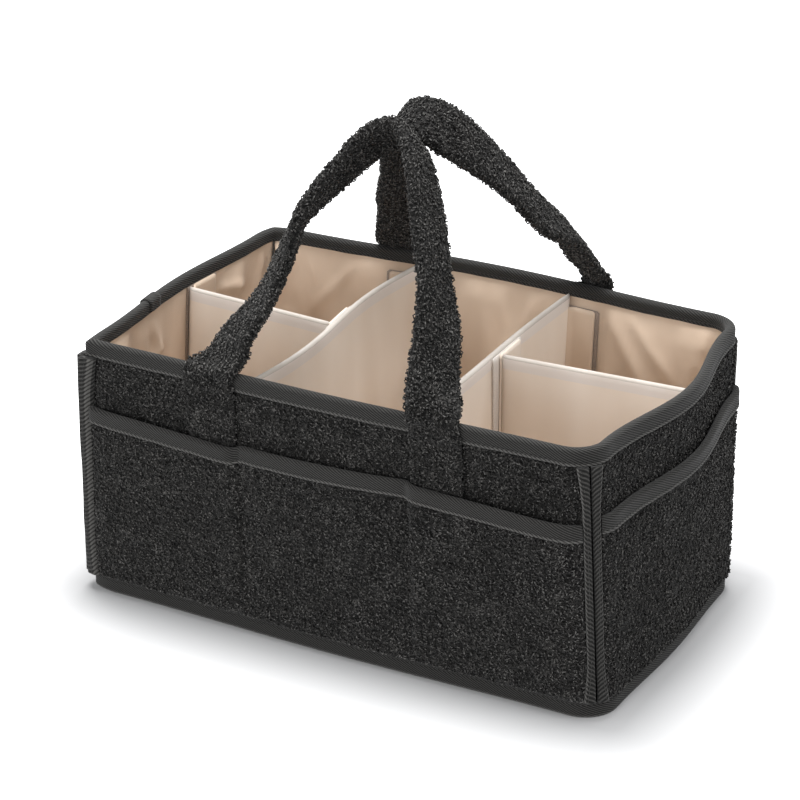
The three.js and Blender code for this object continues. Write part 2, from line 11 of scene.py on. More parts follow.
import bpy
import numpy as np
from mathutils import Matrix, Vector


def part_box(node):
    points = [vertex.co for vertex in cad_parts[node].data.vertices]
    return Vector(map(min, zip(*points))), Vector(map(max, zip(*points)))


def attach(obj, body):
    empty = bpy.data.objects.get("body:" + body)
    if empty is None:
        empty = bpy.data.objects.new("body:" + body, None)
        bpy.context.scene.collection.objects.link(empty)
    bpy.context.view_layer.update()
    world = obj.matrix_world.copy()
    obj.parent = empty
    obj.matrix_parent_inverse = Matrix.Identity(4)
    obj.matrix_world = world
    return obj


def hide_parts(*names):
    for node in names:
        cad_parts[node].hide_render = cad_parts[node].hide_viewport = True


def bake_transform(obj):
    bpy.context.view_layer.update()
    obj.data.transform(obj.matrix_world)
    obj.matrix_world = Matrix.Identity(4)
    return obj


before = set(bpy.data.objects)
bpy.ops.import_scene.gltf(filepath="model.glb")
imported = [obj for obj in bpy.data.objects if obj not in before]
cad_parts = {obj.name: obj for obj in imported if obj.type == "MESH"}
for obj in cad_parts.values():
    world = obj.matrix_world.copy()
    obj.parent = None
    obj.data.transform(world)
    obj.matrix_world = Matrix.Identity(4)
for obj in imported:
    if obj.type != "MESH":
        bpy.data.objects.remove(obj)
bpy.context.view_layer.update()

# %% [markdown]
# ## The sizes of the bag
# The walls lean, bow outwards and turn round corners, and every layer follows the one below it. So the
# few sizes of the solid model are repeated here, in metres, and one function works out each place on a
# wall from them. The middle of the bag is read from the base, because the whole is centred on its
# bulging pockets.

# %% Sizes
mm = 0.001
base_length, base_width = 378 * mm, 212 * mm
rim_length, rim_width = 358 * mm, 233 * mm
height = 187 * mm
corner_radius = 22 * mm
rim_shift = 4 * mm
base_bulge = 3 * mm
rim_bulge = {"front": 3 * mm, "right": 14 * mm, "back": 8 * mm, "left": 6 * mm}
sides = ("front", "right", "back", "left")
outward_of = {"left": -1, "right": 1}
inward_of = {"front": 1, "back": -1}

# How far each corner is drawn out from a round one (0) towards a square one (1), at the base and the rim
corner_pull = {"front_left": (0.35, 0.85), "front_right": (0, 0),
               "back_right": (0, 0), "back_left": (0.3, 0.45)}
wall_ends = {"front": ("front_left", "front_right"), "right": ("front_right", "back_right"),
             "back": ("back_right", "back_left"), "left": ("back_left", "front_left")}

plush_thickness = 1.8 * mm
wall_depth = 4.5 * mm
tape = 0.8 * mm
clearance = 0.3 * mm
over_tape = clearance + tape + clearance

low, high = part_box("base_panel")
bag_x, bag_y = (low[0] + high[0]) / 2, (low[1] + high[1]) / 2
print("middle of the bag:", round(bag_x, 5), round(bag_y, 5))

# %% Places on a wall
corner_middle = math.radians(45)


def clamp(value):
    return np.clip(value, 0, 1)


def bell(value, width):
    """1 where the value is 0, falling smoothly to 0 within about two widths."""
    return np.exp(-((value / width) ** 2))


def straight_half(side, z):
    """Half the straight stretch of a wall at a height."""
    low_end, high_end = (base_length, rim_length) if side in inward_of else (base_width, rim_width)
    return (low_end + (high_end - low_end) * z / height) / 2 - corner_radius


def wall_half(side, z, end=corner_middle):
    """Half the length of a wall at a height, up to an angle round its corners."""
    return straight_half(side, z) + corner_radius * end


def on_wall(side, along, offset, z):
    """Points at a distance along a wall from its middle, an offset out of its face and a height."""
    along, offset, z = np.broadcast_arrays(*[np.asarray(v, float) for v in (along, offset, z)])
    level = z / height
    low_end, high_end = (base_width, rim_width) if side in inward_of else (base_length, rim_length)
    straight = straight_half(side, z)
    bulge = base_bulge + (rim_bulge[side] - base_bulge) * level
    t = np.clip(along, -straight, straight)
    turn = (along - t) / corner_radius
    pulls = [corner_pull[end] for end in wall_ends[side]]
    start_pull, end_pull = [at_base + (at_rim - at_base) * level for at_base, at_rim in pulls]
    pull = np.where(along < 0, start_pull, end_pull)
    out = (low_end + (high_end - low_end) * level) / 2 + offset
    out = out + bulge * np.cos(np.pi / 2 * t / straight) ** 2
    out = out - (corner_radius + offset) * (1 - np.cos(turn)) * (1 - pull)
    t = t + (corner_radius + offset) * (np.sin(turn) * (1 - pull) + turn / corner_middle * pull)
    lean = rim_shift * level
    x, y = {"front": (lean + t, -out), "right": (lean + out, t),
            "back": (lean - t, out), "left": (lean - out, -t)}[side]
    return np.stack([x + bag_x, y + bag_y, z], -1)


def along_at(side, x, z):
    """How far along the front or back wall a place lies that stays at one x."""
    return (x - rim_shift * z / height) * inward_of[side]


def across_at(side, along, z):
    """How far a place on the front or back wall lies from the bag's middle plane, counted as along is."""
    return along + rim_shift * z / height * inward_of[side]


def short_of_corner(distance):
    """The angle round a corner that lies a distance short of the corner's middle."""
    return corner_middle - distance / corner_radius


print("front wall at the rim:", on_wall("front", 0, 0, height).round(4))

# %% [markdown]
# ## Camera, light and floor
# The photograph is a studio shot from above and to the right with a long lens. One large soft lamp
# hangs over the bag, weaker ones fill the front and the right, and the world lights the rest. The floor
# is pale grey at the bag's foot and glows more and more away from it, until it is as white as the
# world, so the bag's soft shadow stays close to it.

# %% Camera
camera_azimuth, camera_elevation = math.radians(28.39), math.radians(24.68)
camera_target = Vector((-8.99, 0, 133.6)) * mm
camera_distance = 1.9
focal_pixels, frame_pixels, sensor = 2900.34, 800, 36

backwards = Vector((
    math.sin(camera_azimuth) * math.cos(camera_elevation),
    -math.cos(camera_azimuth) * math.cos(camera_elevation),
    math.sin(camera_elevation),
))
bag_middle = Vector((bag_x, bag_y, 0))
bpy.ops.object.camera_add(location=bag_middle + camera_target + backwards * camera_distance)
camera = bpy.context.object
camera.name = "photo_camera"
camera.rotation_euler = backwards.to_track_quat("Z", "Y").to_euler()
camera.data.sensor_width = sensor
camera.data.lens = focal_pixels / frame_pixels * sensor
camera.data.clip_end = 50
bpy.context.scene.camera = camera
print("lens:", round(camera.data.lens, 1), "mm")

# %% Lamps
bpy.context.scene.view_settings.view_transform = "Standard"
lamp_aim = Vector((0, 0, 0.1))

for name, place, size, power in (("overhead_softbox", (-0.18, 0.2, 1.6), 1.1, 38),
                                 ("front_fill", (0.0, -2.0, 0.6), 1.2, 20),
                                 ("right_fill", (1.4, -0.1, 1.5), 0.9, 10)):
    bpy.ops.object.light_add(type="AREA", location=place)
    lamp = bpy.context.object
    lamp.name = name
    lamp.data.size, lamp.data.energy = size, power
    lamp.rotation_euler = (Vector(place) - lamp_aim).to_track_quat("Z", "Y").to_euler()

# %% Helpers for nodes
def node(tree, kind, **inputs):
    """Adds a node. Inputs are numbers, colours or other nodes' outputs, by their place or name."""
    made = tree.nodes.new(kind)
    for key, value in inputs.items():
        socket = made.inputs[int(key[1:])] if key[0] == "_" else made.inputs[key]
        if isinstance(value, bpy.types.NodeSocket):
            tree.links.new(value, socket)
        else:
            socket.default_value = value
    return made


def maths(tree, operation, *values):
    made = node(tree, "ShaderNodeMath", **{f"_{i}": value for i, value in enumerate(values)})
    made.operation = operation
    return made.outputs[0]


def vector_maths(tree, operation, first, second=(0, 0, 0)):
    made = node(tree, "ShaderNodeVectorMath", _0=first, _1=second)
    made.operation = operation
    return made.outputs["Value" if operation == "LENGTH" else "Vector"]


def coordinates(tree, kind="Object"):
    return node(tree, "ShaderNodeTexCoord").outputs[kind]


def grain(tree, place, scale, **settings):
    return node(tree, "ShaderNodeTexNoise", Vector=place, Scale=scale, **settings).outputs["Fac"]


def empty_tree(owner):
    owner.use_nodes = True
    owner.node_tree.nodes.clear()
    return owner.node_tree


print("helpers ready")

# %% World and floor
world = bpy.data.worlds.new("studio")
bpy.context.scene.world = world
tree = empty_tree(world)
path = node(tree, "ShaderNodeLightPath").outputs
seen = maths(tree, "MAXIMUM", path["Is Camera Ray"], path["Is Glossy Ray"])
glow = node(tree, "ShaderNodeBackground", Color=(0.97, 0.985, 1, 1), Strength=0.5).outputs[0]
paper = node(tree, "ShaderNodeBackground", Color=(1, 1, 1, 1), Strength=1).outputs[0]
mixed = node(tree, "ShaderNodeMixShader", _0=seen, _1=glow, _2=paper).outputs[0]
node(tree, "ShaderNodeOutputWorld", _0=mixed)

near_floor, far_floor = 8 * mm, 130 * mm
near_lift, far_lift = 0.03, 1.0
bpy.ops.mesh.primitive_plane_add(size=12, location=(0, 0, 0))
floor = bpy.context.object
floor.name = "studio_floor"
floor.data.materials.append(bpy.data.materials.new("white_floor"))
tree = empty_tree(floor.data.materials[0])
quadrant = vector_maths(tree, "ABSOLUTE", coordinates(tree))
beyond = vector_maths(tree, "SUBTRACT", quadrant, (base_length / 2, base_width / 2, 0))
away = vector_maths(tree, "LENGTH", vector_maths(tree, "MAXIMUM", beyond))
fade = node(tree, "ShaderNodeMapRange", **{"Value": away, "From Min": near_floor, "From Max": far_floor,
                                           "To Min": near_lift, "To Max": far_lift}).outputs["Result"]
seen = maths(tree, "MULTIPLY", fade, node(tree, "ShaderNodeLightPath").outputs["Is Camera Ray"])
paint = node(tree, "ShaderNodeBsdfDiffuse", Color=(0.56, 0.56, 0.565, 1)).outputs[0]
lift = node(tree, "ShaderNodeEmission", Strength=seen).outputs[0]
joined = node(tree, "ShaderNodeAddShader", _0=paint, _1=lift).outputs[0]
node(tree, "ShaderNodeOutputMaterial", _0=joined)
print("floor:", floor.name, "world:", world.name)

# %% [markdown]
# ## Finishes
# Each cloth has its own procedural finish. Where a pattern follows the cloth, such as the ribs of the
# twill tape, it reads the piece's own UV map, which is in metres along and across the strip. The
# plush reads an attribute that holds how far each point stands up in the pile, and its colour paints
# shade into the hollows between its loops and a highlight onto the crests.

# %% Helpers for finishes
def new_material(name, roughness, sheen, specular):
    """A finish with the usual shader, and the tree and the shader to build it up with."""
    material = bpy.data.materials.new(name)
    material.use_nodes = True
    shader = material.node_tree.nodes["Principled BSDF"]
    for key, value in {"Roughness": roughness, "Sheen Weight": sheen, "Sheen Roughness": 0.5,
                       "Specular IOR Level": specular}.items():
        shader.inputs[key].default_value = value
    return material, material.node_tree, shader


def colour(tree, shader, factor, *stops):
    """Colours a finish with a ramp through its stops, each a place and a colour."""
    made = node(tree, "ShaderNodeValToRGB", Fac=factor)
    ends = made.color_ramp.elements
    while len(ends) < len(stops):
        ends.new(0.5)
    for end, (place, shade) in zip(ends, stops):
        end.position = place
        end.color = (*shade, 1)
    tree.links.new(made.outputs["Color"], shader.inputs["Base Color"])


def bump(tree, shader, relief, strength, distance):
    made = node(tree, "ShaderNodeBump", Height=relief, Strength=strength, Distance=distance)
    tree.links.new(made.outputs["Normal"], shader.inputs["Normal"])


def speckled(name, roughness, sheen, specular, scale, stops, relief=None, **settings):
    """A finish that is coloured by fine noise, which may also be its relief: (strength, distance)."""
    material, tree, shader = new_material(name, roughness, sheen, specular)
    fibre = grain(tree, coordinates(tree), scale, **settings)
    colour(tree, shader, fibre, *stops)
    if relief:
        bump(tree, shader, fibre, *relief)
    return material


print("helpers ready")

# %% [markdown]
# The plush is a looped pile, nearly black, with a painted grey-brown highlight on its crests, where the
# loops catch the light. Its loops come from the mesh. Here the yarn inside each loop is added: noise that
# is folded at its middle value draws thin curled lines, with a painted highlight on top and painted
# shade between.

# %% Plush finish
plush, tree, shader = new_material("dark_looped_plush", 0.95, sheen=0.1, specular=0.1)
pile = node(tree, "ShaderNodeAttribute")
pile.attribute_name = "pile"
curly = grain(tree, coordinates(tree), 560.0, Detail=1.5, Distortion=0.6)
patch = grain(tree, coordinates(tree), 45.0, Detail=2.0)
away = maths(tree, "ABSOLUTE", maths(tree, "SUBTRACT", curly, 0.5))
yarn = maths(tree, "SUBTRACT", 1.0, maths(tree, "MULTIPLY", away, 9.0))
shares = [maths(tree, "MULTIPLY", part, share) for part, share in (
    (pile.outputs["Fac"], 0.6), (yarn, 0.4), (maths(tree, "SUBTRACT", patch, 0.5), 0.16))]
lift = maths(tree, "ADD", maths(tree, "ADD", *shares[:2]), shares[2])
# The colour paints shade into the pile's hollows and between the yarn's curls, and a highlight onto their
# crests
colour(tree, shader, lift, (0.15, (0.0015, 0.0015, 0.0014)), (0.5, (0.008, 0.0077, 0.0072)),
       (0.75, (0.034, 0.0326, 0.0307)), (1.0, (0.21, 0.203, 0.193)))
bump(tree, shader, yarn, 0.7, 0.5 * mm)
print(plush.name)

# %% [markdown]
# Binding tape is a narrow twill: ribs run over it at a slant, 1.7 mm apart. They are a sine of the
# distance across the tape plus about half the distance along it, raised in the bump, with a painted
# highlight on their crests and painted shade between. The tape's outer edge is lighter too, a painted
# highlight.

# %% Tape finish
rib_pitch, rib_slant, edge_highlight_width = 1.7 * mm, 0.55, 1.2 * mm
twill, tree, shader = new_material("dark_twill_tape", 0.8, sheen=0.1, specular=0.2)
uv = coordinates(tree, "UV")
strip = node(tree, "ShaderNodeSeparateXYZ", Vector=uv).outputs
slant = maths(tree, "ADD", maths(tree, "MULTIPLY", strip["X"], rib_slant), strip["Y"])
wave = maths(tree, "SINE", maths(tree, "MULTIPLY", slant, 2 * math.pi / rib_pitch))
rib = maths(tree, "MULTIPLY_ADD", wave, 0.5, 0.5)
yarn = grain(tree, uv, 2200.0, Detail=2.0)
# The ribs' crests take a painted highlight and their valleys painted shade
shade = maths(tree, "MULTIPLY_ADD", yarn, 0.5, maths(tree, "MULTIPLY", rib, 0.6))
# A painted highlight along the tape's outer edge
edge = maths(tree, "SUBTRACT", 1.3, maths(tree, "DIVIDE", strip["Y"], edge_highlight_width))
shade = maths(tree, "ADD", shade, maths(tree, "MAXIMUM", maths(tree, "MINIMUM", edge, 0.4), 0.0))
colour(tree, shader, shade, (0.2, (0.002, 0.0019, 0.0018)), (0.5, (0.009, 0.0087, 0.008)),
       (0.8, (0.038, 0.037, 0.0345)), (1.0, (0.1, 0.097, 0.092)))
bump(tree, shader, rib, 0.7, 0.4 * mm)
print(twill.name)

# %% [markdown]
# The lining is a smooth woven nylon with a soft, satin-like glow. A faint weave keeps it from looking
# like plastic, and broad, low wrinkles in the bump go with the folds that the mesh has. The colour is
# darker in the wrinkles' hollows, as painted shade.

# %% Lining, divider, board and thread finishes
weave_pitch = 0.7 * mm


def satin(name, light, dark, roughness):
    """A smooth woven cloth that is a little darker in patches: painted shade in the hollows of its bump
    wrinkles.
    """
    material, tree, shader = new_material(name, roughness, sheen=0.1, specular=0.3)
    upright = node(tree, "ShaderNodeMapping", Vector=coordinates(tree), Scale=(1, 1, 0.35))
    soft = grain(tree, upright.outputs["Vector"], 30.0, Detail=1.5)
    cloth = node(tree, "ShaderNodeSeparateXYZ", Vector=coordinates(tree, "UV")).outputs
    warp, weft = [maths(tree, "SINE", maths(tree, "MULTIPLY", cloth[way], 2 * math.pi / weave_pitch))
                  for way in "XY"]
    weave = maths(tree, "MULTIPLY", warp, weft)
    # The wrinkles' noise also sets the colour: painted shade in their hollows
    colour(tree, shader, soft, (0.3, dark), (0.7, light))
    bump(tree, shader, maths(tree, "ADD", maths(tree, "MULTIPLY", weave, 0.04), soft), 0.5, 4 * mm)
    return material


lining_satin = satin("beige_lining", (0.73, 0.58, 0.45), (0.53, 0.4, 0.295), 0.45)
divider_satin = satin("pale_divider_cloth", (0.94, 0.84, 0.735), (0.85, 0.735, 0.62), 0.45)
hem_satin = satin("white_hem_cloth", (0.87, 0.81, 0.76), (0.81, 0.74, 0.68), 0.6)
# The fold over a divider's top is a darker copy of the hem cloth: painted shade, which holds back the lamp's
# light on its upward face
shaded_fold_satin = satin("hem_fold_shaded_cloth", (0.58, 0.53, 0.48), (0.5, 0.45, 0.4), 0.6)

loop_look = dict(roughness=0.95, sheen=0.3, specular=0.1, scale=1400.0, relief=(0.6, 0.6 * mm),
                 Detail=3.0, Roughness=0.75)
# The loop tape on the walls is darker brown than on the dividers: painted shade, for the shadow line beside
# the flaps
shaded_wall_loop_finish = speckled(
    "brown_loop_tape", stops=((0.3, (0.2, 0.155, 0.125)), (0.75, (0.38, 0.31, 0.26))), **loop_look)
divider_loop_finish = speckled(
    "pale_loop_tape", stops=((0.3, (0.55, 0.5, 0.455)), (0.75, (0.82, 0.76, 0.7))), **loop_look)
board = speckled("grey_board", 0.85, 0, 0.2, 350.0, ((0.3, (0.4, 0.29, 0.17)), (0.7, (0.52, 0.4, 0.25))),
                 relief=(0.2, 0.3 * mm), Detail=4.0)
thread = speckled("dark_thread", 0.6, 0.1, 0.35, 3000.0,
                  ((0.3, (0.018, 0.0175, 0.016)), (0.7, (0.045, 0.044, 0.041))))
print([m.name for m in bpy.data.materials])

# %% [markdown]
# ## Laying cloth
# A grid is the natural start for cloth. It is added as a flat square, and each vertex is then moved to
# the place that its two shares stand for. The shares may be packed closer where the cloth needs more
# detail. The piece keeps a UV map in metres for its weave. Solidify then gives a thin cloth its
# thickness behind the face, and a thick plush is laid as a flat tube, with its back in the same grid.

# %% Helpers for rows, and for finishing a piece
def even(steps):
    return np.linspace(0, 1, steps + 1)


def steps_of(length, step):
    return even(int(length / step))


def row_of(share, rows):
    return np.rint(share * rows).astype(int)


def report(pieces):
    print({p.name: len(p.data.polygons) for p in pieces})


def run_along(points):
    """How far each point lies along the line through them all."""
    return np.r_[0, np.cumsum(np.linalg.norm(np.diff(points, axis=0), axis=1))]


def unit(vectors):
    return vectors / np.linalg.norm(vectors, axis=-1, keepdims=True)


def flatten(wave, squareness):
    """Turns the cosine or sine of a circle into that of a rounded oblong."""
    return np.sign(wave) * np.abs(wave) ** squareness


def finish_piece(piece, body, slot, *nodes):
    """The piece stands for its solids, moves with a body and is shaded smooth; its slot is not used."""
    if nodes:
        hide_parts(*nodes)
    if body:
        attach(piece, body)
    piece.data.polygons.foreach_set("use_smooth", np.ones(len(piece.data.polygons), bool))
    piece.data.update()
    return piece


print("four rows lie at", even(3).round(2))

# %% Helpers for cloth
def read(items, key):
    """A vector of each vertex, normal or face of a mesh, as rows of x, y and z."""
    flat = np.empty(len(items) * 3)
    items.foreach_get(key, flat)
    return flat.reshape(-1, 3)


def lay_cloth(name, u_shares, v_shares, shape, length_and_width, material):
    """A grid with a line at each share, whose vertices go where shape(u, v) says."""
    bpy.ops.object.select_all(action="DESELECT")
    columns, rows = len(u_shares) - 1, len(v_shares) - 1
    bpy.ops.mesh.primitive_grid_add(x_subdivisions=columns, y_subdivisions=rows, size=2)
    cloth = bpy.context.object
    cloth.name = cloth.data.name = name
    across, up = (read(cloth.data.vertices, "co")[:, :2].T + 1) / 2
    u = np.asarray(u_shares)[row_of(across, columns)]
    v = np.asarray(v_shares)[row_of(up, rows)]
    cloth.data.vertices.foreach_set("co", np.ascontiguousarray(shape(u, v)).ravel())
    corners = np.empty(len(cloth.data.loops), int)
    cloth.data.loops.foreach_get("vertex_index", corners)
    metres = np.stack([u * length_and_width[0], v * length_and_width[1]], -1)[corners]
    cloth.data.uv_layers[0].data.foreach_set("uv", metres.ravel())
    cloth.data.materials.append(material)
    cloth.data.update()
    return cloth


def only(piece):
    bpy.ops.object.select_all(action="DESELECT")
    piece.select_set(True)
    bpy.context.view_layer.objects.active = piece


def apply_modifier(piece, kind, **settings):
    """Adds a modifier and makes it part of the mesh."""
    only(piece)
    modifier = piece.modifiers.new(kind.lower(), kind)
    for key, value in settings.items():
        setattr(modifier, key, value)
    bpy.ops.object.modifier_apply(modifier=modifier.name)
    return piece


def thicken(piece, thickness, offset=-1.0):
    """Adds thickness behind the face, so that the face stays where it is."""
    return apply_modifier(piece, "SOLIDIFY", thickness=thickness, offset=offset)


def weld(piece):
    """Joins the vertices that lie at one place."""
    return apply_modifier(piece, "WELD", merge_threshold=0.01 * mm)


def close_tube(piece):
    """Joins the grid's first and last lines where they meet, and closes the open ends."""
    weld(piece)
    only(piece)
    bpy.ops.object.mode_set(mode="EDIT")
    bpy.ops.mesh.select_mode(type="EDGE")
    bpy.ops.mesh.select_all(action="DESELECT")
    bpy.ops.mesh.select_non_manifold()
    bpy.ops.mesh.fill_holes(sides=0)
    bpy.ops.mesh.select_all(action="SELECT")
    bpy.ops.mesh.normals_make_consistent(inside=False)
    bpy.ops.object.mode_set(mode="OBJECT")
    return piece


print("helpers ready")

# %% [markdown]
# ## Random but repeatable
# Folds, waves and pile all come from one kind of noise: a random slope in every cell of space, blended
# smoothly between the cells. The random numbers have a fixed seed, so every run gives the same bag.

# %% Noise
slope_count, noise_gain = 8192, 1.6
# Large primes that scatter the cells' numbers
mix_x, mix_y, mix_z, mix_seed = 73856093, 19349663, 83492791, 2654435761
slopes = np.random.default_rng(7).normal(size=(slope_count, 3))
slopes /= np.linalg.norm(slopes, axis=1)[:, None]


def pick_of(cells, seed):
    """Which slope each cell of space takes, with no pattern that could be seen."""
    x, y, z = cells.astype(np.int64).T
    return ((x * mix_x) ^ (y * mix_y) ^ (z * mix_z) ^ (seed * mix_seed)) & (slope_count - 1)


def noise(points, cell, seed=0):
    """Smooth noise, about -1 to 1, that changes over the length of a cell."""
    scaled = np.atleast_2d(points) / cell
    base = np.floor(scaled)
    part = scaled - base
    blend = part**3 * (part * (part * 6 - 15) + 10)
    total = np.zeros(len(scaled))
    for corner in np.ndindex(2, 2, 2):
        step = np.array(corner)
        weight = np.prod(np.where(step, blend, 1 - blend), axis=1)
        total += weight * np.sum(slopes[pick_of(base + step, seed)] * (part - step), axis=1)
    return total * noise_gain


def wander(along, across, stretch, seed=0):
    """Noise over a flat cloth, with its own cell size in each direction."""
    along, across, level = np.broadcast_arrays(along / stretch[0], across / stretch[1], 0.37)
    return noise(np.stack([along, across, level], -1).reshape(-1, 3), 1.0, seed).reshape(along.shape)


# Each kind of fold has a seed of its own
seeds = {"rim": 21, "join": 22, "base": 31, "fin": 41, "fold": 51, "pucker": 61, "floor": 71,
         "long divider": 81, "short divider": 91, "flap": 101}
print("noise at three places:", noise(np.eye(3) * 0.013, 0.005).round(3))

# %% [markdown]
# ## The pile
# The real plush has short curled loops, two to four millimetres across, packed at random. Where noise
# passes through zero it draws curled lines, so a ridge along those lines looks like curled yarn. Two
# sizes of ridge are laid over each other. The height is kept in an attribute for the finish to read.

# %% Pile
grid_step, coarse_step = 1.15 * mm, 10 * mm
curl_ridges, fine_ridges, clump_size = 3.4 * mm, 2.1 * mm, 9 * mm
bend_size, bend_depth = 4 * mm, 0.7 * mm
curl_steepness, fine_steepness = 2.6, 2.2
fine_share, ridge_share, clump_share = 0.85, 0.9, 0.18
middle_height = 0.45


def pile_height(points):
    """Height of the pile from 0 in its creases to 1 on its crests."""
    bends = np.stack([noise(points, bend_size, seed) for seed in (11, 12, 13)], -1)
    bent = points + bend_depth * bends
    curls = 1 - clamp(np.abs(noise(bent, curl_ridges, 1)) * curl_steepness)
    fine = 1 - clamp(np.abs(noise(bent, fine_ridges, 2)) * fine_steepness)
    clumps = noise(points, clump_size, 3)
    return clamp(np.maximum(curls, fine_share * fine) * ridge_share + clump_share * clumps)


def keep_pile(piece, heights):
    """Stores how far each vertex stands up in the pile, for the finish to read."""
    layer = piece.data.attributes.new("pile", "FLOAT", "POINT")
    layer.data.foreach_set("value", heights.astype(np.float32))


def raise_pile(piece, depth, share=1.0):
    """Lifts the face of a plush piece by its pile."""
    points, normals = read(piece.data.vertices, "co"), read(piece.data.vertex_normals, "vector")
    heights = pile_height(points)
    lift = (heights - middle_height) * depth * share
    piece.data.vertices.foreach_set("co", (points + normals * np.asarray(lift)[:, None]).ravel())
    keep_pile(piece, heights)
    piece.data.update()
    return piece


def plush_section(low, high, fine_from):
    """Heights up the face of a plush panel and down its back, and how far back each row lies, 0 or 1."""
    coarse = np.linspace(low, fine_from, max(int((fine_from - low) / coarse_step), 1) + 1)[:-1]
    fine = np.linspace(fine_from, high, int((high - fine_from) / grid_step) + 1)
    face = np.r_[coarse, fine]
    back = np.linspace(high, low, 9)
    return np.r_[face, back, low], np.r_[np.zeros_like(face), np.ones_like(back), 0]


print("rows of a wall panel:", len(plush_section(2.3 * mm, 186 * mm, 118 * mm)[0]))

# %% [markdown]
# ## Small shapes in large numbers
# Curls of yarn and stitches are both one small shape, copied many times. It is made once, its points are
# turned and moved for all the copies at the same time, and the copies become one mesh.

# %% Copies of a small shape
def small_shape(adder, **settings):
    """The points and faces of a small shape that is copied many times."""
    bpy.ops.object.select_all(action="DESELECT")
    adder(**settings)
    shape = bpy.context.object
    points = read(shape.data.vertices, "co")
    faces = [tuple(p.vertices) for p in shape.data.polygons]
    bpy.data.objects.remove(shape, do_unlink=True)
    return points, faces


def copies(name, shape, places, axes, material):
    """One mesh with a copy of the shape at each place, turned to the three axes given there."""
    points, faces = shape
    turned = np.einsum("pk,nkj->npj", points, axes) + places[:, None, :]
    starts = range(0, len(places) * len(points), len(points))
    mesh = bpy.data.meshes.new(name)
    copied = [[start + i for i in face] for start in starts for face in faces]
    mesh.from_pydata(turned.reshape(-1, 3), [], copied)
    mesh.materials.append(material)
    piece = bpy.data.objects.new(name, mesh)
    bpy.context.collection.objects.link(piece)
    return piece


print("copies ready")

# %% [markdown]
# ## Curls
# Rings of yarn stand on the plush, half sunk, each turned and leaned at random. One is put in each cell
# of space that the face passes through, which spreads them evenly without lining them up.

# %% Curls
rng = np.random.default_rng(19)
curl_smallest, curl_largest, curl_lift, curl_lean = 0.85, 1.35, 0.15, 0.9
curl_cell, strap_curl_cell = 2.95 * mm, 2.75 * mm
curl = small_shape(bpy.ops.mesh.primitive_torus_add, major_segments=5, minor_segments=3, major_radius=1,
                   minor_radius=0.44)


def curls_on(piece, name, cell, wanted):
    """Rings over the wanted faces of a plush piece. wanted(centres, normals) says which."""
    centres, normals = [read(piece.data.polygons, key) for key in ("center", "normal")]
    order = rng.permutation(np.flatnonzero(wanted(centres, normals)))
    first = np.unique(np.floor(centres[order] / cell).astype(int), axis=0, return_index=True)[1]
    places, out = centres[order[first]], normals[order[first]]
    across = unit(np.cross(out, rng.normal(size=out.shape)))
    up = unit(out + rng.uniform(-curl_lean, curl_lean, (len(out), 1)) * np.cross(out, across))
    size = rng.uniform(curl_smallest, curl_largest, len(out)) * mm
    axes = np.stack([across, up, np.cross(across, up)], 1) * size[:, None, None]
    rings = copies(name, curl, places + out * size[:, None] * curl_lift, axes, plush)
    # Each ring is lighter towards its top and darker at its sunk foot: a painted highlight and painted shade
    keep_pile(rings, np.tile(0.55 + 0.4 * curl[0][:, 1], len(places)))
    return rings


print("a curl:", len(curl[0]), "points,", len(curl[1]), "faces")

# %% [markdown]
# ## The plush walls
# Each wall has one plush panel from the base to the rim. Most of it hides behind the pocket, so its
# rows are wide apart there and close together in the strip that shows.

# %% Plush walls
wall_foot, wall_top = 2.3 * mm, 185.9 * mm
shown_from, wall_curls = 118 * mm, (131 * mm, 174.5 * mm)
seam_gap = 0.3 * mm
wall_pile, pocket_pile, strap_pile = 1.3 * mm, 1.4 * mm, 1.2 * mm
wall_pile_room, pocket_pile_room = 0.9 * mm, 1.2 * mm
# The pile is pressed down near an edge and near a row of stitches
wall_press, pocket_press, stitch_press = 6 * mm, 5 * mm, 4 * mm


def plush_panel(name, side, ends, section, offset, thickness, top_rise=lambda along: 0):
    """A plush panel on a wall: offset(along, z) is its face before the pile is raised."""
    z_rows, behind = section
    end = short_of_corner(ends)
    count = len(z_rows) - 1
    length = 2 * wall_half(side, height, end)

    def shape(u, v):
        row = row_of(v, count)
        z = z_rows[row]
        along = (2 * u - 1) * wall_half(side, z, end)
        lifted = z + top_rise(along) * (z - z_rows[0]) / (z_rows.max() - z_rows[0])
        return on_wall(side, along, offset(along, z) - behind[row] * thickness, lifted)

    size = (length, count * grid_step)
    return close_tube(lay_cloth(name, steps_of(length, grid_step), even(count), shape, size, plush))


outward_way = {"front": (0, -1, 0), "right": (1, 0, 0), "back": (0, 1, 0), "left": (-1, 0, 0)}


def dress_plush(panel, side, depth, share, low, high):
    """Raises the pile on a panel's face and sets curls on it between two heights."""
    outward = lambda normals: normals @ outward_way[side] > 0.2
    raise_pile(panel, depth, share * outward(read(panel.data.vertex_normals, "vector")))
    rings = curls_on(panel, panel.name.replace("plush", "curls"), curl_cell, lambda at, out: (
        (at[:, 2] > low) & (at[:, 2] < high) & outward(out)))
    solid = panel.name.replace("wall_plush", "panel").replace("_plush", "")
    return [finish_piece(panel, "bag", "plush", solid), finish_piece(rings, "bag", "plush")]


walls = []
for side in sides:
    section = plush_section(wall_foot, wall_top, shown_from)
    panel = plush_panel(f"{side}_wall_plush", side, seam_gap, section,
                        lambda along, z: -wall_pile_room + 0 * z, plush_thickness - wall_pile_room)
    z = read(panel.data.vertices, "co")[:, 2]
    share = np.clip(np.minimum(z - wall_foot, wall_top - z) / wall_press, 0.15, 1)
    walls += dress_plush(panel, side, wall_pile, share, *wall_curls)
report(walls)

# %% [markdown]
# ## The pockets
# A pocket is one plush sheet, sewn down at its ends and along its foot, and on the long walls at two
# upright lines as well. Between these lines it stands off the wall, more towards its top, where it has
# some ease. The stitch lines pull it in to a narrow valley.

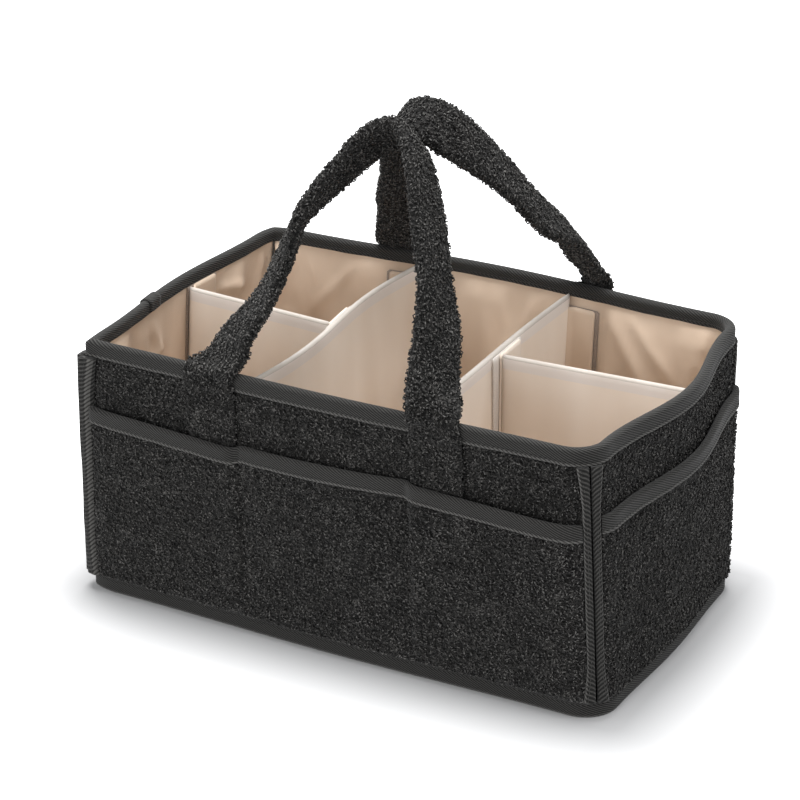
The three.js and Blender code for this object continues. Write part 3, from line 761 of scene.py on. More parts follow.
# %% Pockets
pocket_top, pocket_cloth = 140 * mm, 2.6 * mm
pocket_foot, pocket_curls = 12.3 * mm, (14 * mm, pocket_top - 12.5 * mm)
pocket_ease = {"front": 4.7 * mm, "right": 2 * mm, "back": 4.7 * mm, "left": 3.5 * mm}
stitch_x = {"front": 60.5 * mm, "back": 55 * mm}
fin_gap, fin_width, fin_flare = 1.4 * mm, 4.2 * mm, 2.6 * mm
pocket_ends = fin_gap / 2 + fin_width + clearance
pocket_end = short_of_corner(pocket_ends)
strap_width = 36 * mm
# Over what distance a pocket comes off the wall past its stitches, and goes back to it before its end
puff_start, puff_end, middle_puff = 9 * mm, 30 * mm, 0.75

# How far a pocket's top edge lies above its usual height, at distances along its wall from the middle
top_waves = {
    "front": ([-165, -147, -66, -60, -15, 54, 58, 110, 165], [0.5, 1, -2.5, -0.5, 0.8, 3, 2.6, 0, -2.5]),
    "right": ([-95, -60, 60, 95], [1.5, 3, 4.2, 4.2]),
}


def top_wave(side, along):
    at, rise = np.array(top_waves.get(side, ([0], [0]))) * mm
    return np.interp(along, at, rise)


def pocket_puff(side, along, z):
    """How far the pocket stands off, from 0 at its seams to 1."""
    end = wall_half(side, z, pocket_end)
    if side in outward_of:
        return clamp(1 - np.abs(along / end) ** 3) ** 0.9
    distance = np.abs(across_at(side, along, z))
    seam = stitch_x[side]
    middle = middle_puff * clamp(1 - (distance / seam) ** 2.6) ** 0.75
    past = clamp((distance - seam) / puff_start)
    before = clamp((end - np.abs(along)) / puff_end)
    outer = np.sin(past * np.pi / 2) ** 0.6 * np.sin(before * np.pi / 2) ** 0.8
    return np.where(distance < seam, middle, outer)


def pocket_offset(side, along, z):
    """Offset of the pocket's inner face from the wall."""
    fill = np.sqrt(clamp((z - pocket_foot) / (pocket_top - pocket_foot)))
    return over_tape + pocket_ease[side] * pocket_puff(side, along, z) * fill


def on_pocket(side, along, offset, z):
    """Points on a pocket, an offset out of its inner face."""
    return on_wall(side, along, pocket_offset(side, along, z) + offset, z + top_wave(side, along))


pockets = []
for side in sides:
    top = pocket_top - tape - clearance
    section = plush_section(pocket_foot, top, pocket_foot + grid_step)
    thickness = pocket_cloth - pocket_pile_room
    face = lambda along, z: pocket_offset(side, along, z) + pocket_cloth - pocket_pile_room
    panel = plush_panel(f"{side}_pocket_plush", side, pocket_ends, section, face, thickness,
                        lambda along: top_wave(side, along))
    x, z = read(panel.data.vertices, "co").T[[0, 2]]
    share = np.clip(np.minimum(z - pocket_foot, top - z) / pocket_press, 0.2, 1)
    if side in inward_of:
        from_stitches = np.abs(np.abs(x - bag_x) - stitch_x[side])
        share = share * np.clip(from_stitches / stitch_press, 0.1, 1)
    pockets += dress_plush(panel, side, pocket_pile, share, *pocket_curls)
report(pockets)

# %% [markdown]
# ## The handles
# Each handle is one long padded strap. Its flat ends are sewn over the rim tape and go down behind the
# pocket. Above the rim it leans over the bag, and it turns on its way up until its width lies across
# the bag at the top. The route is a short list of places with the turn and tilt at each, joined by a
# smooth curve, and a rounded oblong is carried along it.

# %% Handle route
strap_thickness, tail_thickness = 8.5 * mm, 4 * mm
strap_inner_x = {side: x + 1.8 * mm for side, x in stitch_x.items()}
strap_centre_x = {side: x + strap_width / 2 for side, x in strap_inner_x.items()}
tail_foot = pocket_top - 15 * mm
rim_outer_leg, rim_inner_leg = 11 * mm, 8.5 * mm
handle_foot = height - tape
handle_rise = 139 * mm
leg_steps, tail_steps, tape_ramp = 16, 40, 4 * mm

# Shares of the foot's distance from the middle, of the reach and of the rise, then turn and tilt
front_left_leg = [
    (1, 0, 0, 2, 0), (0.914, 0.132, 0.055, 23, 12), (0.867, 0.186, 0.14, 31, 18),
    (0.735, 0.377, 0.31, 47, 24), (0.637, 0.51, 0.51, 53, 29), (0.526, 0.57, 0.68, 67, 38),
    (0.352, 0.779, 0.84, 80, 43), (0.18, 0.938, 0.96, 87, 46), (0, 1, 1, 90, 44),
]
front_right_leg = [
    (1, 0, 0, 0, 0), (0.969, 0.036, 0.055, 30, 12), (0.881, 0.158, 0.14, 54, 21),
    (0.782, 0.348, 0.31, 64, 26), (0.652, 0.497, 0.51, 80, 33), (0.517, 0.626, 0.68, 79, 33),
    (0.358, 0.779, 0.84, 82, 37), (0.183, 0.916, 0.96, 86, 41),
]
back_left_leg = [
    (1, 0, 0, 0, 0), (0.963, 0.065, 0.053, 15, 3), (0.901, 0.129, 0.143, 29, 8),
    (0.801, 0.245, 0.323, 45, 15), (0.683, 0.45, 0.472, 63, 24), (0.532, 0.641, 0.669, 77, 31),
    (0.386, 0.832, 0.836, 84, 34), (0.211, 0.97, 0.957, 89, 32), (0, 1, 0.993, 90, 28),
]
back_right_leg = [
    (1, 0, 0, 1, 0), (0.944, 0, 0.053, 32, 10), (0.864, 0.076, 0.143, 25, 19),
    (0.796, 0.221, 0.323, 39, 26), (0.711, 0.476, 0.472, 58, 28), (0.554, 0.667, 0.669, 62, 26),
    (0.374, 0.85, 0.836, 75, 30), (0.189, 0.989, 0.957, 89, 32),
]
handle_legs = {"front": (front_left_leg, front_right_leg), "back": (back_left_leg, back_right_leg)}
handle_reach = {"front": 106 * mm, "back": 110 * mm}


def through(points, steps):
    """A smooth curve through points, whose knots are spaced by the root of their distance."""
    points = np.asarray(points, float)
    padded = np.vstack([2 * points[0] - points[1], points, 2 * points[-1] - points[-2]])
    gaps = np.linalg.norm(np.diff(padded, axis=0), axis=1) ** 0.5
    curve = []
    for i in range(len(points) - 1):
        p0, p1, p2, p3 = padded[i:i + 4]
        d0, d1, d2 = gaps[i:i + 3]
        m1 = ((p1 - p0) / d0 - (p2 - p0) / (d0 + d1) + (p2 - p1) / d1) * d1
        m2 = ((p2 - p1) / d1 - (p3 - p1) / (d1 + d2) + (p3 - p2) / d2) * d1
        t = np.linspace(0, 1, steps, endpoint=False)[:, None]
        curve.append(p1 + t * m1 + t**2 * (3 * (p2 - p1) - 2 * m1 - m2) + t**3 * (2 * (p1 - p2) + m1 + m2))
    return np.vstack([*curve, points[-1:]])


print("a leg of the route has", len(front_left_leg), "places")

# %% Frames along a strap
def strap_frames(side):
    """Places, directions along, across and out of the face, and thickness, from one tail to the other."""
    inward = inward_of[side]
    foot_along = along_at(side, strap_inner_x[side], height)
    foot_y = on_wall(side, foot_along, over_tape + tail_thickness / 2, height)[1]

    def leg(points, sign):
        return [((sign * strap_centre_x[side] * out, inward * handle_reach[side] * over, handle_rise * up),
                 (turn if sign < 0 else 180 - turn, tilt, strap_thickness if up else tail_thickness))
                for out, over, up, turn, tilt in points]

    left, right = handle_legs[side]
    places, poses = zip(*leg(left, -1), *leg(right[::-1], 1))
    arch = through(places, leg_steps) + (bag_x, foot_y, handle_foot)
    poses = through(np.array(poses) * (1, 1, 1000), leg_steps) / (1, 1, 1000)
    tail_z = np.linspace(tail_foot, handle_foot, tail_steps)[:-1]
    over = clamp((tail_z - (height - rim_outer_leg - tape_ramp)) / tape_ramp)
    offset = clearance + (over_tape - clearance) * over + tail_thickness / 2
    tail = on_wall(side, along_at(side, -strap_centre_x[side], tail_z), offset, tail_z)
    tail = np.column_stack([tail, np.zeros((len(tail), 2)), np.full(len(tail), tail_thickness)])
    other_tail = tail[::-1].copy()
    other_tail[:, 0] = 2 * bag_x - other_tail[:, 0]
    other_tail[:, 3] = 180
    line = np.vstack([tail, np.column_stack([arch, poses]), other_tail])
    run = run_along(line[:, :3])
    at = np.linspace(0, run[-1], int(run[-1] / grid_step) + 1)
    line = np.stack([np.interp(at, run, column) for column in line.T], -1)
    along = unit(np.gradient(line[:, :3], at, axis=0))
    turn, tilt = np.radians(line[:, 3]), np.radians(line[:, 4])
    turned = -inward * np.sin(turn)
    across = np.stack([np.cos(turn), turned * np.cos(tilt), np.sin(turn) * np.sin(tilt)], -1)
    across = unit(across - along * np.sum(across * along, 1)[:, None])
    return line[:, :3], along, across, np.cross(along, across), line[:, 5], at


places, along, across, outward, thickness, at = strap_frames("front")
print("front strap:", round(at[-1], 3), "m, top at", round(places[:, 2].max(), 3))

# %% Handles
groove_half, groove_depth = 4 * mm, 1.2 * mm
strap_ring, strap_squareness = 78, 0.55
curl_room, edge_room = 0.5 * mm, 0.9 * mm
padding_run, foot_run = 25 * mm, 8 * mm
# How far the inner edge of a strap's right foot is folded in, as a share
fold_in = {"front": 0.1, "back": 0.42}


def strap(side):
    """A handle: its padded strap, and the curls on it above the pocket."""
    places, along, across, outward, thickness, at = strap_frames(side)
    inward = inward_of[side]
    steps = len(places) - 1
    rise = places[:, 2] - handle_foot
    padded = clamp(rise / padding_run)
    at_right_foot = (np.arange(steps + 1) > steps / 2) * bell(rise, foot_run)
    angles = np.linspace(0, 2 * np.pi, 721)
    circle = np.stack([np.cos(angles), np.sin(angles)], -1)
    run = run_along(flatten(circle, strap_squareness) * (strap_width, strap_thickness))
    even_angles = np.interp(even(strap_ring), run / run[-1], angles)

    def shape(u, v):
        i = row_of(u, steps)
        angle = even_angles[row_of(v, strap_ring)]
        wide = flatten(np.cos(angle), strap_squareness) * (strap_width / 2 - edge_room)
        wide = wide * np.where(wide < 0, 1 - fold_in[side] * at_right_foot[i], 1)
        thick = flatten(np.sin(angle), strap_squareness) * (thickness[i] / 2 - curl_room)
        hollow = bell(wide, groove_half) * padded[i] * groove_depth
        thick = thick - np.where(np.sin(angle) * inward > 0, np.sign(np.sin(angle)) * hollow, 0)
        return places[i] + across[i] * wide[:, None] + outward[i] * thick[:, None]

    size = (at[-1], 2 * strap_width)
    piece = lay_cloth(f"{side}_handle_strap", even(steps), even(strap_ring), shape, size, plush)
    raise_pile(close_tube(piece), strap_pile)
    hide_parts(f"{side}_handle", f"{side}_handle_core", f"{side}_left_handle_tail",
                f"{side}_right_handle_tail")
    rings = curls_on(piece, f"{side}_handle_curls", strap_curl_cell, lambda at, out: (
        (at[:, 2] > pocket_top + 2 * mm) & ((at[:, 2] > height) | (out @ outward_way[side] > -0.1))))
    for part in (piece, rings):
        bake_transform(part)
        finish_piece(part, None, "plush")
    return [piece, rings]


report(strap("front") + strap("back"))

# %% [markdown]
# ## Binding tapes
# Twill tape is folded over the rim and over each pocket's top, and stitched through near its edge. One
# fold serves them all: up the outside, over a round top and down the inside. The edge stands up a
# little where the tape's selvedge is, and the row of stitches beside it presses a shallow groove.

# %% Tape over an edge
selvedge, selvedge_width = 0.25 * mm, 0.7 * mm
stitch_groove, stitch_groove_width = 0.35 * mm, 0.6 * mm
stitch_from_edge = 2.1 * mm
tape_row, tape_step = 0.8 * mm, 2.2 * mm
# How much the legs of a tape vary in length, as a share
leg_wave, leg_wave_length = 0.035, 14 * mm


def edge_relief(distance):
    """How far a tape's face stands up near its edge, and dips along its stitches."""
    stitches = stitch_groove * bell(distance - stitch_from_edge, stitch_groove_width)
    return selvedge * bell(distance, selvedge_width) - stitches


def fold_run(width, rise, outer_leg, inner_leg, row):
    """Shares across and drops below the top, at even distances along a fold, and those distances."""
    turn = np.linspace(0, np.pi, 25)
    across = np.r_[0, (1 - np.cos(turn)) / 2, 1]
    drop = np.r_[outer_leg, rise * (1 - np.sin(turn)), inner_leg]
    run = run_along(np.stack([across * width, drop], -1))
    at = np.linspace(0, run[-1], int(run[-1] / row) + 1)
    return np.interp(at, run, across), np.interp(at, run, drop), at


def tape_over_edge(name, length, width, rise, legs, top, place, seed, closed=False):
    """A tape folded over an edge. place(u, across, lift, z) gives its points; across is 0 on its outside."""
    across_at_row, drop_at, at = fold_run(width, rise, *legs, tape_row)
    rows = len(at) - 1

    def shape(u, v):
        row = row_of(v, rows)
        across, drop = across_at_row[row], drop_at[row]
        edge = np.minimum(at[row], at[-1] - at[row])
        wave = 1 + leg_wave * wander(u * length, 0.0, (leg_wave_length, 1), seed)
        lift = edge_relief(edge) * (1 - 2 * across)
        return place(u, across, lift, top - drop * np.where(drop > rise, wave, 1))

    piece = lay_cloth(name, steps_of(length, tape_step), even(rows), shape, (length, at[-1]), twill)
    return thicken(weld(piece) if closed else piece, tape)


# Shares of the way round at which each wall starts
wall_lengths = [2 * wall_half(side, height) for side in sides]
wall_starts = np.r_[0, np.cumsum(wall_lengths)] / sum(wall_lengths)
round_length = sum(wall_lengths)


def around(share, offset, z):
    """Points round the whole bag, for shares from 0 to 1 of the way, from the front left corner."""
    share, offset, z = np.broadcast_arrays(*[np.asarray(v, float) for v in (share, offset, z)])
    share = share % 1
    index = np.clip(np.searchsorted(wall_starts, share, side="right") - 1, 0, 3)
    points = np.empty((*share.shape, 3))
    for i, side in enumerate(sides):
        here = index == i
        local = (share[here] - wall_starts[i]) / (wall_starts[i + 1] - wall_starts[i])
        along = (2 * local - 1) * wall_half(side, z[here])
        points[here] = on_wall(side, along, offset[here], z[here])
    return points


def between(outer, inner, across):
    return outer + (inner - outer) * across


rim_outer, rim_inner = clearance + tape, -(wall_depth + clearance + tape)
rim_legs, rim_rise = (rim_outer_leg, rim_inner_leg), 2.6 * mm
rim = tape_over_edge("rim_tape", round_length, rim_outer - rim_inner, rim_rise, rim_legs, height,
                     lambda u, across, lift, z: around(u, between(rim_outer, rim_inner, across) + lift, z),
                     seeds["rim"], closed=True)
finish_piece(rim, "bag", "binding_tape", "rim_binding")
report([rim])

# %% [markdown]
# The tape's two ends lap on the left wall. The upper end lies over the lower one and is stitched down,
# which makes a short double stretch there.

# %% Rim join and pocket tapes
join_low, join_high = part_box("rim_binding_join")
join_y = (join_low[1] + join_high[1]) / 2 - bag_y
join_length, join_width, join_rise = 14 * mm, 9.9 * mm, 2.8 * mm


def join_place(u, across, lift, z):
    offset = between(rim_outer + clearance + tape, rim_inner - clearance - tape, across) + lift
    return on_wall("left", -join_y + (u - 0.5) * join_length, offset, z)


join = tape_over_edge("rim_tape_lap", join_length, join_width, join_rise, rim_legs, height + 1 * mm,
                      join_place, seeds["join"])
finish_piece(join, "bag", "binding_tape", "rim_binding_join")

pocket_tape_leg, pocket_tape_rise = 11 * mm, 1.8 * mm
pocket_tapes = []
for side in sides:
    def pocket_tape_place(u, across, lift, z):
        offset = between(pocket_cloth + clearance + tape, -clearance - tape, across) + lift
        return on_pocket(side, (2 * u - 1) * wall_half(side, z, pocket_end), offset, z)

    length, width = 2 * wall_half(side, pocket_top, pocket_end), pocket_cloth + 2 * (clearance + tape)
    piece = tape_over_edge(f"{side}_pocket_tape", length, width, pocket_tape_rise, (pocket_tape_leg,) * 2,
                           pocket_top, pocket_tape_place, sides.index(side))
    pocket_tapes.append(finish_piece(piece, "bag", "binding_tape", f"{side}_pocket_binding"))
report([join, *pocket_tapes])

# %% [markdown]
# The tape round the base lies flat on the wall and turns under it at its lower edge.

# %% Base tape
base_tape_top, base_tape_foot = 12 * mm, 0.6 * mm
turn_under, under_depth = 2.2 * mm, 0.5 * mm
top_waver, top_waver_length = 0.35 * mm, 12 * mm


def base_tape_shape(u, v):
    z = base_tape_foot + v * (base_tape_top - base_tape_foot)
    under = clamp(1 - (z - base_tape_foot) / turn_under)
    lift = edge_relief(base_tape_top - z) - under_depth * under**2
    z = z + top_waver * v * wander(u * round_length, 0.0, (top_waver_length, 1), seeds["base"])
    return around(u, rim_outer + lift, z)


base_tape = weld(lay_cloth("base_tape", steps_of(round_length, tape_step), even(18), base_tape_shape,
                           (round_length, base_tape_top), twill))
finish_piece(thicken(base_tape, tape), "bag", "binding_tape", "base_binding")
report([base_tape])

# %% [markdown]
# Each upright corner seam is a raw edge of two walls, bound in tape and standing out from the corner.
# Two of them lie side by side, with a dark groove between. Each is a flat tube that flares at its ends.

# %% Corner fins
fin_low, fin_high = 12.3 * mm, 175.7 * mm
fin_inner, fin_wave, fin_wave_length = 0.3 * mm, 0.25 * mm, 18 * mm
fin_rows, fin_ring, fin_squareness = 110, 30, 0.6
fin_outer = {"front_left": 6.8 * mm, "front_right": 4.6 * mm, "back_right": 3.2 * mm, "back_left": 4.6 * mm}
flare_run = 30 * mm


def fin_face(side, sign):
    return fin_outer[wall_ends[side][0 if sign < 0 else 1]]


def fin_reach(z):
    """How wide a fin is at a height: it flares towards its two ends."""
    return fin_width + fin_flare * clamp(1 - np.minimum(z - fin_low, fin_high - z) / flare_run) ** 1.5


def fin(side, sign, name):
    """The bound edge at one end of a wall, its start for sign -1 or its end for sign 1."""
    def shape(u, v):
        z = fin_low + u * (fin_high - fin_low)
        angle = 2 * np.pi * v
        share, level = [(1 + flatten(part, fin_squareness)) / 2 for part in (np.cos(angle), np.sin(angle))]
        far = fin_reach(z)
        dip = stitch_groove * bell((1 - share) * far - stitch_from_edge, stitch_groove_width)
        offset = fin_inner + level * (fin_face(side, sign) - fin_inner) - dip * (np.sin(angle) > 0)
        wave = wander(z, sign * 1.0, (fin_wave_length, 1), seeds["fin"] + sides.index(side))
        offset = offset + fin_wave * wave * level
        return on_wall(side, sign * (wall_half(side, z) - fin_gap / 2 - share * far), offset, z)

    size = (fin_high - fin_low, 2 * fin_width)
    piece = lay_cloth(name, even(fin_rows), even(fin_ring), shape, size, twill)
    return finish_piece(close_tube(piece), "bag", "binding_tape", name.replace("_tape", "_fin"))


wall_sides = ((-1, "start"), (1, "end"))
fins = [fin(side, sign, f"{side}_wall_{end}_tape") for side in sides for sign, end in wall_sides]
report(fins)

# %% [markdown]
# ## The lining
# The lining is a thin satin sheet on each wall. It is cut a little too large, so it stands off the
# board in soft upright folds, with a few short slanting creases. It lies flat under the rim tape and
# behind the strips of loop tape.

# %% Where the lining is held and creased
lining_thickness, lining_gap = 0.6 * mm, 0.4 * mm
divider_x = 57 * mm
flap_length, wall_flap_length, flap_reach, wall_flap_reach = 28 * mm, 20 * mm, 32 * mm, 24 * mm
short_wall_y = {"left": 9 * mm, "right": 15 * mm}
lining_fold, lining_pucker, crease_half = 4.5 * mm, 1.1 * mm, 4 * mm
# The size of a fold and of a pucker, along the wall and up it
fold_cell, pucker_cell = (22 * mm, 80 * mm), (9 * mm, 34 * mm)
# How far from what holds it, from the rim tape, from the base and from a corner the cloth comes loose
held_fade, rim_fade, foot_fade, corner_fade = 10 * mm, 14 * mm, 25 * mm, 35 * mm
cloth_step, lining_rows = 3 * mm, 62
seam_foot, seam_half = 8 * mm, 0.7 * mm
# Start along the wall, start height, end along, end height and depth, all in mm
creases = {
    "front": [(100, 168, 130, 120, 2.5)],
    "right": [(-70, 168, -40, 120, 2.5), (60, 170, 85, 130, 2.5)],
    "back": [(-86, 172, -120, 118, 3.5), (-98, 175, -138, 132, 3), (-178, 122, -154, 152, 3.5),
             (-176, 150, -160, 165, 3), (-30, 172, -6, 118, 2), (24, 172, 40, 110, 2),
             (108, 172, 140, 132, 2.5)],
    "left": [(96, 150, 60, 134, 4), (60, 134, 26, 152, 4), (40, 172, 30, 140, 3), (-26, 168, -74, 158, 4),
             (-98, 172, -80, 128, 4)],
}


def held_stretch(side):
    """The stretch of a wall where loop tape holds the lining flat. A long wall has one on either half."""
    if side in inward_of:
        return divider_x - 3 * mm, divider_x + wall_flap_reach
    middle = outward_of[side] * short_wall_y[side]
    return middle - flap_reach, middle + 3 * mm


def clear_of(along, stretch, fade):
    """0 within a stretch, rising smoothly to 1 over a fade on either side of it."""
    share = clamp(np.maximum(stretch[0] - along, along - stretch[1]) / fade)
    return share * share * (3 - 2 * share)


def crease_lift(side, along, z):
    """How far the cloth stands off a wall in ridges along short lines."""
    lift = np.zeros_like(z)
    for *line, depth in creases[side]:
        start, end = np.array(line[:2]) * mm, np.array(line[2:]) * mm
        step = end - start
        share = clamp(((along - start[0]) * step[0] + (z - start[1]) * step[1]) / (step @ step))
        away = np.hypot(along - start[0] - share * step[0], z - start[1] - share * step[1])
        profile = np.exp(-((away / crease_half) ** 1.5)) * np.sin(np.pi * (0.12 + 0.76 * share))
        lift = lift + depth * mm * profile
    return lift


print("creases:", {side: len(lines) for side, lines in creases.items()})

# %% Wall linings
def lining(side):
    """The cloth of one wall, from the base to the rim."""
    end = short_of_corner(lining_gap)
    length = 2 * wall_half(side, height, end)

    def shape(u, v):
        z = wall_foot + v * (wall_top - wall_foot)
        along = (1 - 2 * u) * wall_half(side, z, end)
        where = np.abs(across_at(side, along, z)) if side in inward_of else along
        loose = clear_of(where, held_stretch(side), held_fade)
        loose = loose * clamp((wall_top - rim_inner_leg - z) / rim_fade) ** 0.7
        loose = loose * clamp((z - wall_foot) / foot_fade)
        folds = wander(along + 0.2 * z, z, fold_cell, seeds["fold"] + sides.index(side))
        puckers = wander(along - 0.3 * z, z, pucker_cell, seeds["pucker"] + sides.index(side))
        deep = 1 + clamp(1 - (straight_half(side, z) - np.abs(along)) / corner_fade)
        lift = loose * deep * (clamp(folds + 0.2) * lining_fold + clamp(puckers) * lining_pucker)
        lift = lift + clamp(loose * 1.5) * crease_lift(side, along, z)
        return on_wall(side, along, -wall_depth - lift, z)

    sheet = lay_cloth(f"{side}_lining_cloth", steps_of(length, cloth_step), even(lining_rows), shape,
                      (length, wall_top - wall_foot), lining_satin)
    thicken(sheet, lining_thickness)
    return finish_piece(sheet, "bag", "lining", f"{side}_lining")


def corner_seam(side):
    """A dark piping where two wall linings are sewn together, from the floor to the rim tape."""
    def shape(u, v):
        z = seam_foot + u * (height - rim_inner_leg - seam_foot)
        turn = 2 * np.pi * v
        along = wall_half(side, z) + seam_half * np.cos(turn)
        return on_wall(side, along, -wall_depth - seam_half * (1 + np.sin(turn)), z)

    piece = lay_cloth(f"{side}_lining_seam", even(80), even(8), shape, (height, 6 * seam_half), twill)
    return finish_piece(close_tube(piece), "bag", "binding_tape")


linings = [lining(side) for side in sides]
report(linings + [corner_seam(side) for side in sides])

# %% [markdown]
# The floor lining and the base cloth are flat sheets with the bag's rounded outline. A grid is wrapped
# round like a web: one direction runs round the outline, the other from its middle to its edge.

# %% Floor lining and base cloth
floor_level, floor_ripple, base_ripple = 5 * mm, 0.3 * mm, 0.15 * mm
base_thickness, base_face = 1.8 * mm, 0.2 * mm
spokes, rings, floor_cell = 160, 24, (35 * mm, 28 * mm)


def web(name, inset, z, thickness, material, ripple, up=True):
    """A flat sheet inside the bag's outline, a little rippled, with its face up or down."""
    def shape(u, v):
        edge = around(1 - u if up else u, -inset, 0.0)
        middle = np.array([bag_x, bag_y, 0])
        points = middle + (edge - middle) * v[:, None]
        waves = wander(points[:, 0], points[:, 1], floor_cell, seeds["floor"])
        points[:, 2] = z + ripple * waves * (1 - v**6)
        return points

    size = (round_length, base_width / 2)
    sheet = lay_cloth(name, even(spokes), np.sqrt(even(rings)), shape, size, material)
    return thicken(weld(sheet), thickness)


floor_cloth = web("floor_lining_cloth", wall_depth + clearance, floor_level, lining_thickness,
                  lining_satin, floor_ripple)
base_cloth = web("base_cloth", 0.0, base_face, base_thickness, twill, base_ripple, up=False)
report([finish_piece(floor_cloth, "bag", "lining", "floor_lining"),
        finish_piece(base_cloth, "bag", "plush", "base_panel")])

# %% [markdown]
# ## The dividers
# A divider is a thin board in a cloth sleeve, folded over the board's top edge with a wide hem there.
# Its cloth runs on past the board as flaps, which grip strips of loop tape on the walls. The two long
# ones bend in a shallow S across the bag, and each short one runs from a long one to an end wall.

# %% Divider places
divider_half = 1.9 * mm
divider_foot = floor_level
cross_top, short_top = 180 * mm, 178 * mm
flap_top, wall_flap_top, flap_bottom = 178.2 * mm, 171.5 * mm, 9 * mm
flap_thickness, loop_thickness = 1.2 * mm, 1 * mm
flap_middle = wall_depth + clearance + loop_thickness + clearance + flap_thickness / 2
cross_sway = {"left": 4 * mm, "right": 1 * mm}
short_cross_y = {"left": 1 * mm, "right": 8 * mm}


def cross_x(name, y):
    """Where a long divider's middle is, at a distance y from the bag's middle."""
    return outward_of[name] * divider_x - cross_sway[name] * np.sin(2 * np.pi * y / base_width)


def cross_end(name, side, z):
    """How far from the bag's middle a long divider ends at the front or back wall."""
    x = outward_of[name] * divider_x + 0 * z
    return on_wall(side, along_at(side, x, z), -flap_middle, z)[..., 1] - bag_y


def beside_cross(name, y, offset, z):
    """Points a distance outward of a long divider's middle."""
    return np.stack([cross_x(name, y) + outward_of[name] * offset + bag_x, y + bag_y, z], -1)


def on_cross_divider(name, share, offset, z):
    """Points on a long divider from the front, share 0, to the back, a distance outward of its middle."""
    front, back = [cross_end(name, side, z) for side in ("front", "back")]
    return beside_cross(name, front + (back - front) * share, offset, z)


def on_short_divider(name, share, offset, z):
    """Points on a short divider from the long divider, share 0, to the end wall, a distance along +Y."""
    out = outward_of[name]
    y_cross, y_wall = short_cross_y[name], short_wall_y[name]
    wall = on_wall(name, out * y_wall + 0 * z, -flap_middle, z)[..., 0] - bag_x
    start = cross_x(name, y_cross) + out * 5 * mm
    x = start + (wall - start) * share
    return np.stack([x + bag_x, y_cross + (y_wall - y_cross) * share + offset + bag_y, z], -1)


print("left divider's middle:", on_cross_divider("left", np.array([0.5]), 0, np.array([0.1])).round(4))

# %% Divider sleeves
hem_width, hem_rise = 10 * mm, 0.2 * mm
groove_width, hem_groove = 1.1 * mm, 0.25 * mm
sleeve_slack, slack_cell = 1.6 * mm, (34 * mm, 52 * mm)
slack_below, slack_inward = 60 * mm, 20 * mm
pinch_run, hem_fade = 2.2 * mm, 2 * mm
face_rows = 48
nowhere = (-1, -1)


def sleeve(name, place, top, length, flip, held, seed, body):
    """A cloth folded over a board: up one face, over the top and down the other."""
    face = np.linspace(divider_foot, top - divider_half, face_rows)
    turn = np.linspace(0, np.pi, 9)[1:-1]
    z_rows = np.r_[face, top - divider_half * (1 - np.sin(turn)), face[::-1]]
    side_rows = np.r_[np.ones(face_rows), np.cos(turn), -np.ones(face_rows)]
    run = run_along(np.stack([z_rows, side_rows * divider_half], -1))

    def shape(u, v):
        row = np.searchsorted(run / run[-1], v - 1e-9)
        share = 1 - u if flip else u
        z, which = z_rows[row], side_rows[row]
        from_end = np.minimum(share, 1 - share) * length
        pinch = 1 - 0.5 * bell(from_end, pinch_run)
        down = top - z
        groove = hem_groove * bell(down - hem_width, groove_width)
        hem = hem_rise * clamp((hem_width - down) / hem_fade)
        slack = clamp(down / slack_below) * clamp(from_end / slack_inward)
        slack = slack * clear_of(share * length, held, held_fade)
        waves = clamp(wander(share * length, z, slack_cell, seed + (which > 0)) + 0.3)
        lift = hem - groove + sleeve_slack * slack * waves
        return place(share, which * (divider_half * pinch + lift * np.abs(which)), z)

    flat = (length, run[-1])
    cloth = lay_cloth(name, steps_of(length, cloth_step), run / run[-1], shape, flat, divider_satin)
    thicken(cloth, lining_thickness)
    for finish in (hem_satin, shaded_fold_satin):
        cloth.data.materials.append(finish)
    face_z = read(cloth.data.polygons, "center")[:, 2]
    # Index 2 is the fold over the top, whose darker cloth is painted shade; 1 is the hem and 0 the sleeve
    which_cloth = (face_z > top - hem_width).astype(int) + (face_z > top - 1.2 * divider_half)
    cloth.data.polygons.foreach_set("material_index", which_cloth)
    return finish_piece(cloth, body, "divider_cloth", body)


sleeves = []
for name, out in outward_of.items():
    reach = base_width / 2 + short_cross_y[name]
    sleeves.append(sleeve(
        f"{name}_cross_sleeve", partial(on_cross_divider, name), cross_top, base_width, out < 0,
        (reach - 22 * mm, reach + flap_reach), seeds["long divider"] + out, f"{name}_cross_divider"))
    length = base_length / 2 - divider_x
    sleeves.append(sleeve(
        f"{name}_short_sleeve", partial(on_short_divider, name), short_top, length, out > 0, nowhere,
        seeds["short divider"] + out, f"{name}_short_divider"))
report(sleeves)

# %% [markdown]
# Flaps and strips of loop tape are upright ribbons. A flap leaves the end of its divider, turns, and
# then lies along the wall over the loop tape. A short divider's other end is a tab of the same kind,
# which lies on the loop tape of the long divider.

# %% Flaps and loop tapes on the walls
flap_start, stand, stand_run = 0.8 * mm, 2.6 * mm, 2.4 * mm
loop_middle = wall_depth + clearance + loop_thickness / 2
ribbon_corner, ribbon_step = 1.2 * mm, 1.5 * mm
flap_wave, flap_wave_cell, flap_wave_from = 0.35 * mm, (16 * mm, 40 * mm), 8 * mm


def ribbon(name, length, top, place, thickness, material):
    """An upright strip. place(run, z) gives its middle; its far top corner is rounded."""
    def shape(u, v):
        run = u * length
        cut = ribbon_corner * clamp((run - (length - ribbon_corner)) / ribbon_corner) ** 2
        return place(run, flap_bottom + v * (top - flap_bottom - cut))

    size = (length, top - flap_bottom)
    piece = lay_cloth(name, steps_of(length, ribbon_step), even(face_rows), shape, size, material)
    return thicken(piece, thickness, 0.0)


def beside_divider(name, side, run, offset, z):
    """Places on a wall at a distance outwards of the long divider, or round from the short divider."""
    out = outward_of[name]
    if side == name:
        return on_wall(name, out * (short_wall_y[name] - out * run), offset, z)
    return on_wall(side, along_at(side, out * (divider_x + run), z), offset, z)


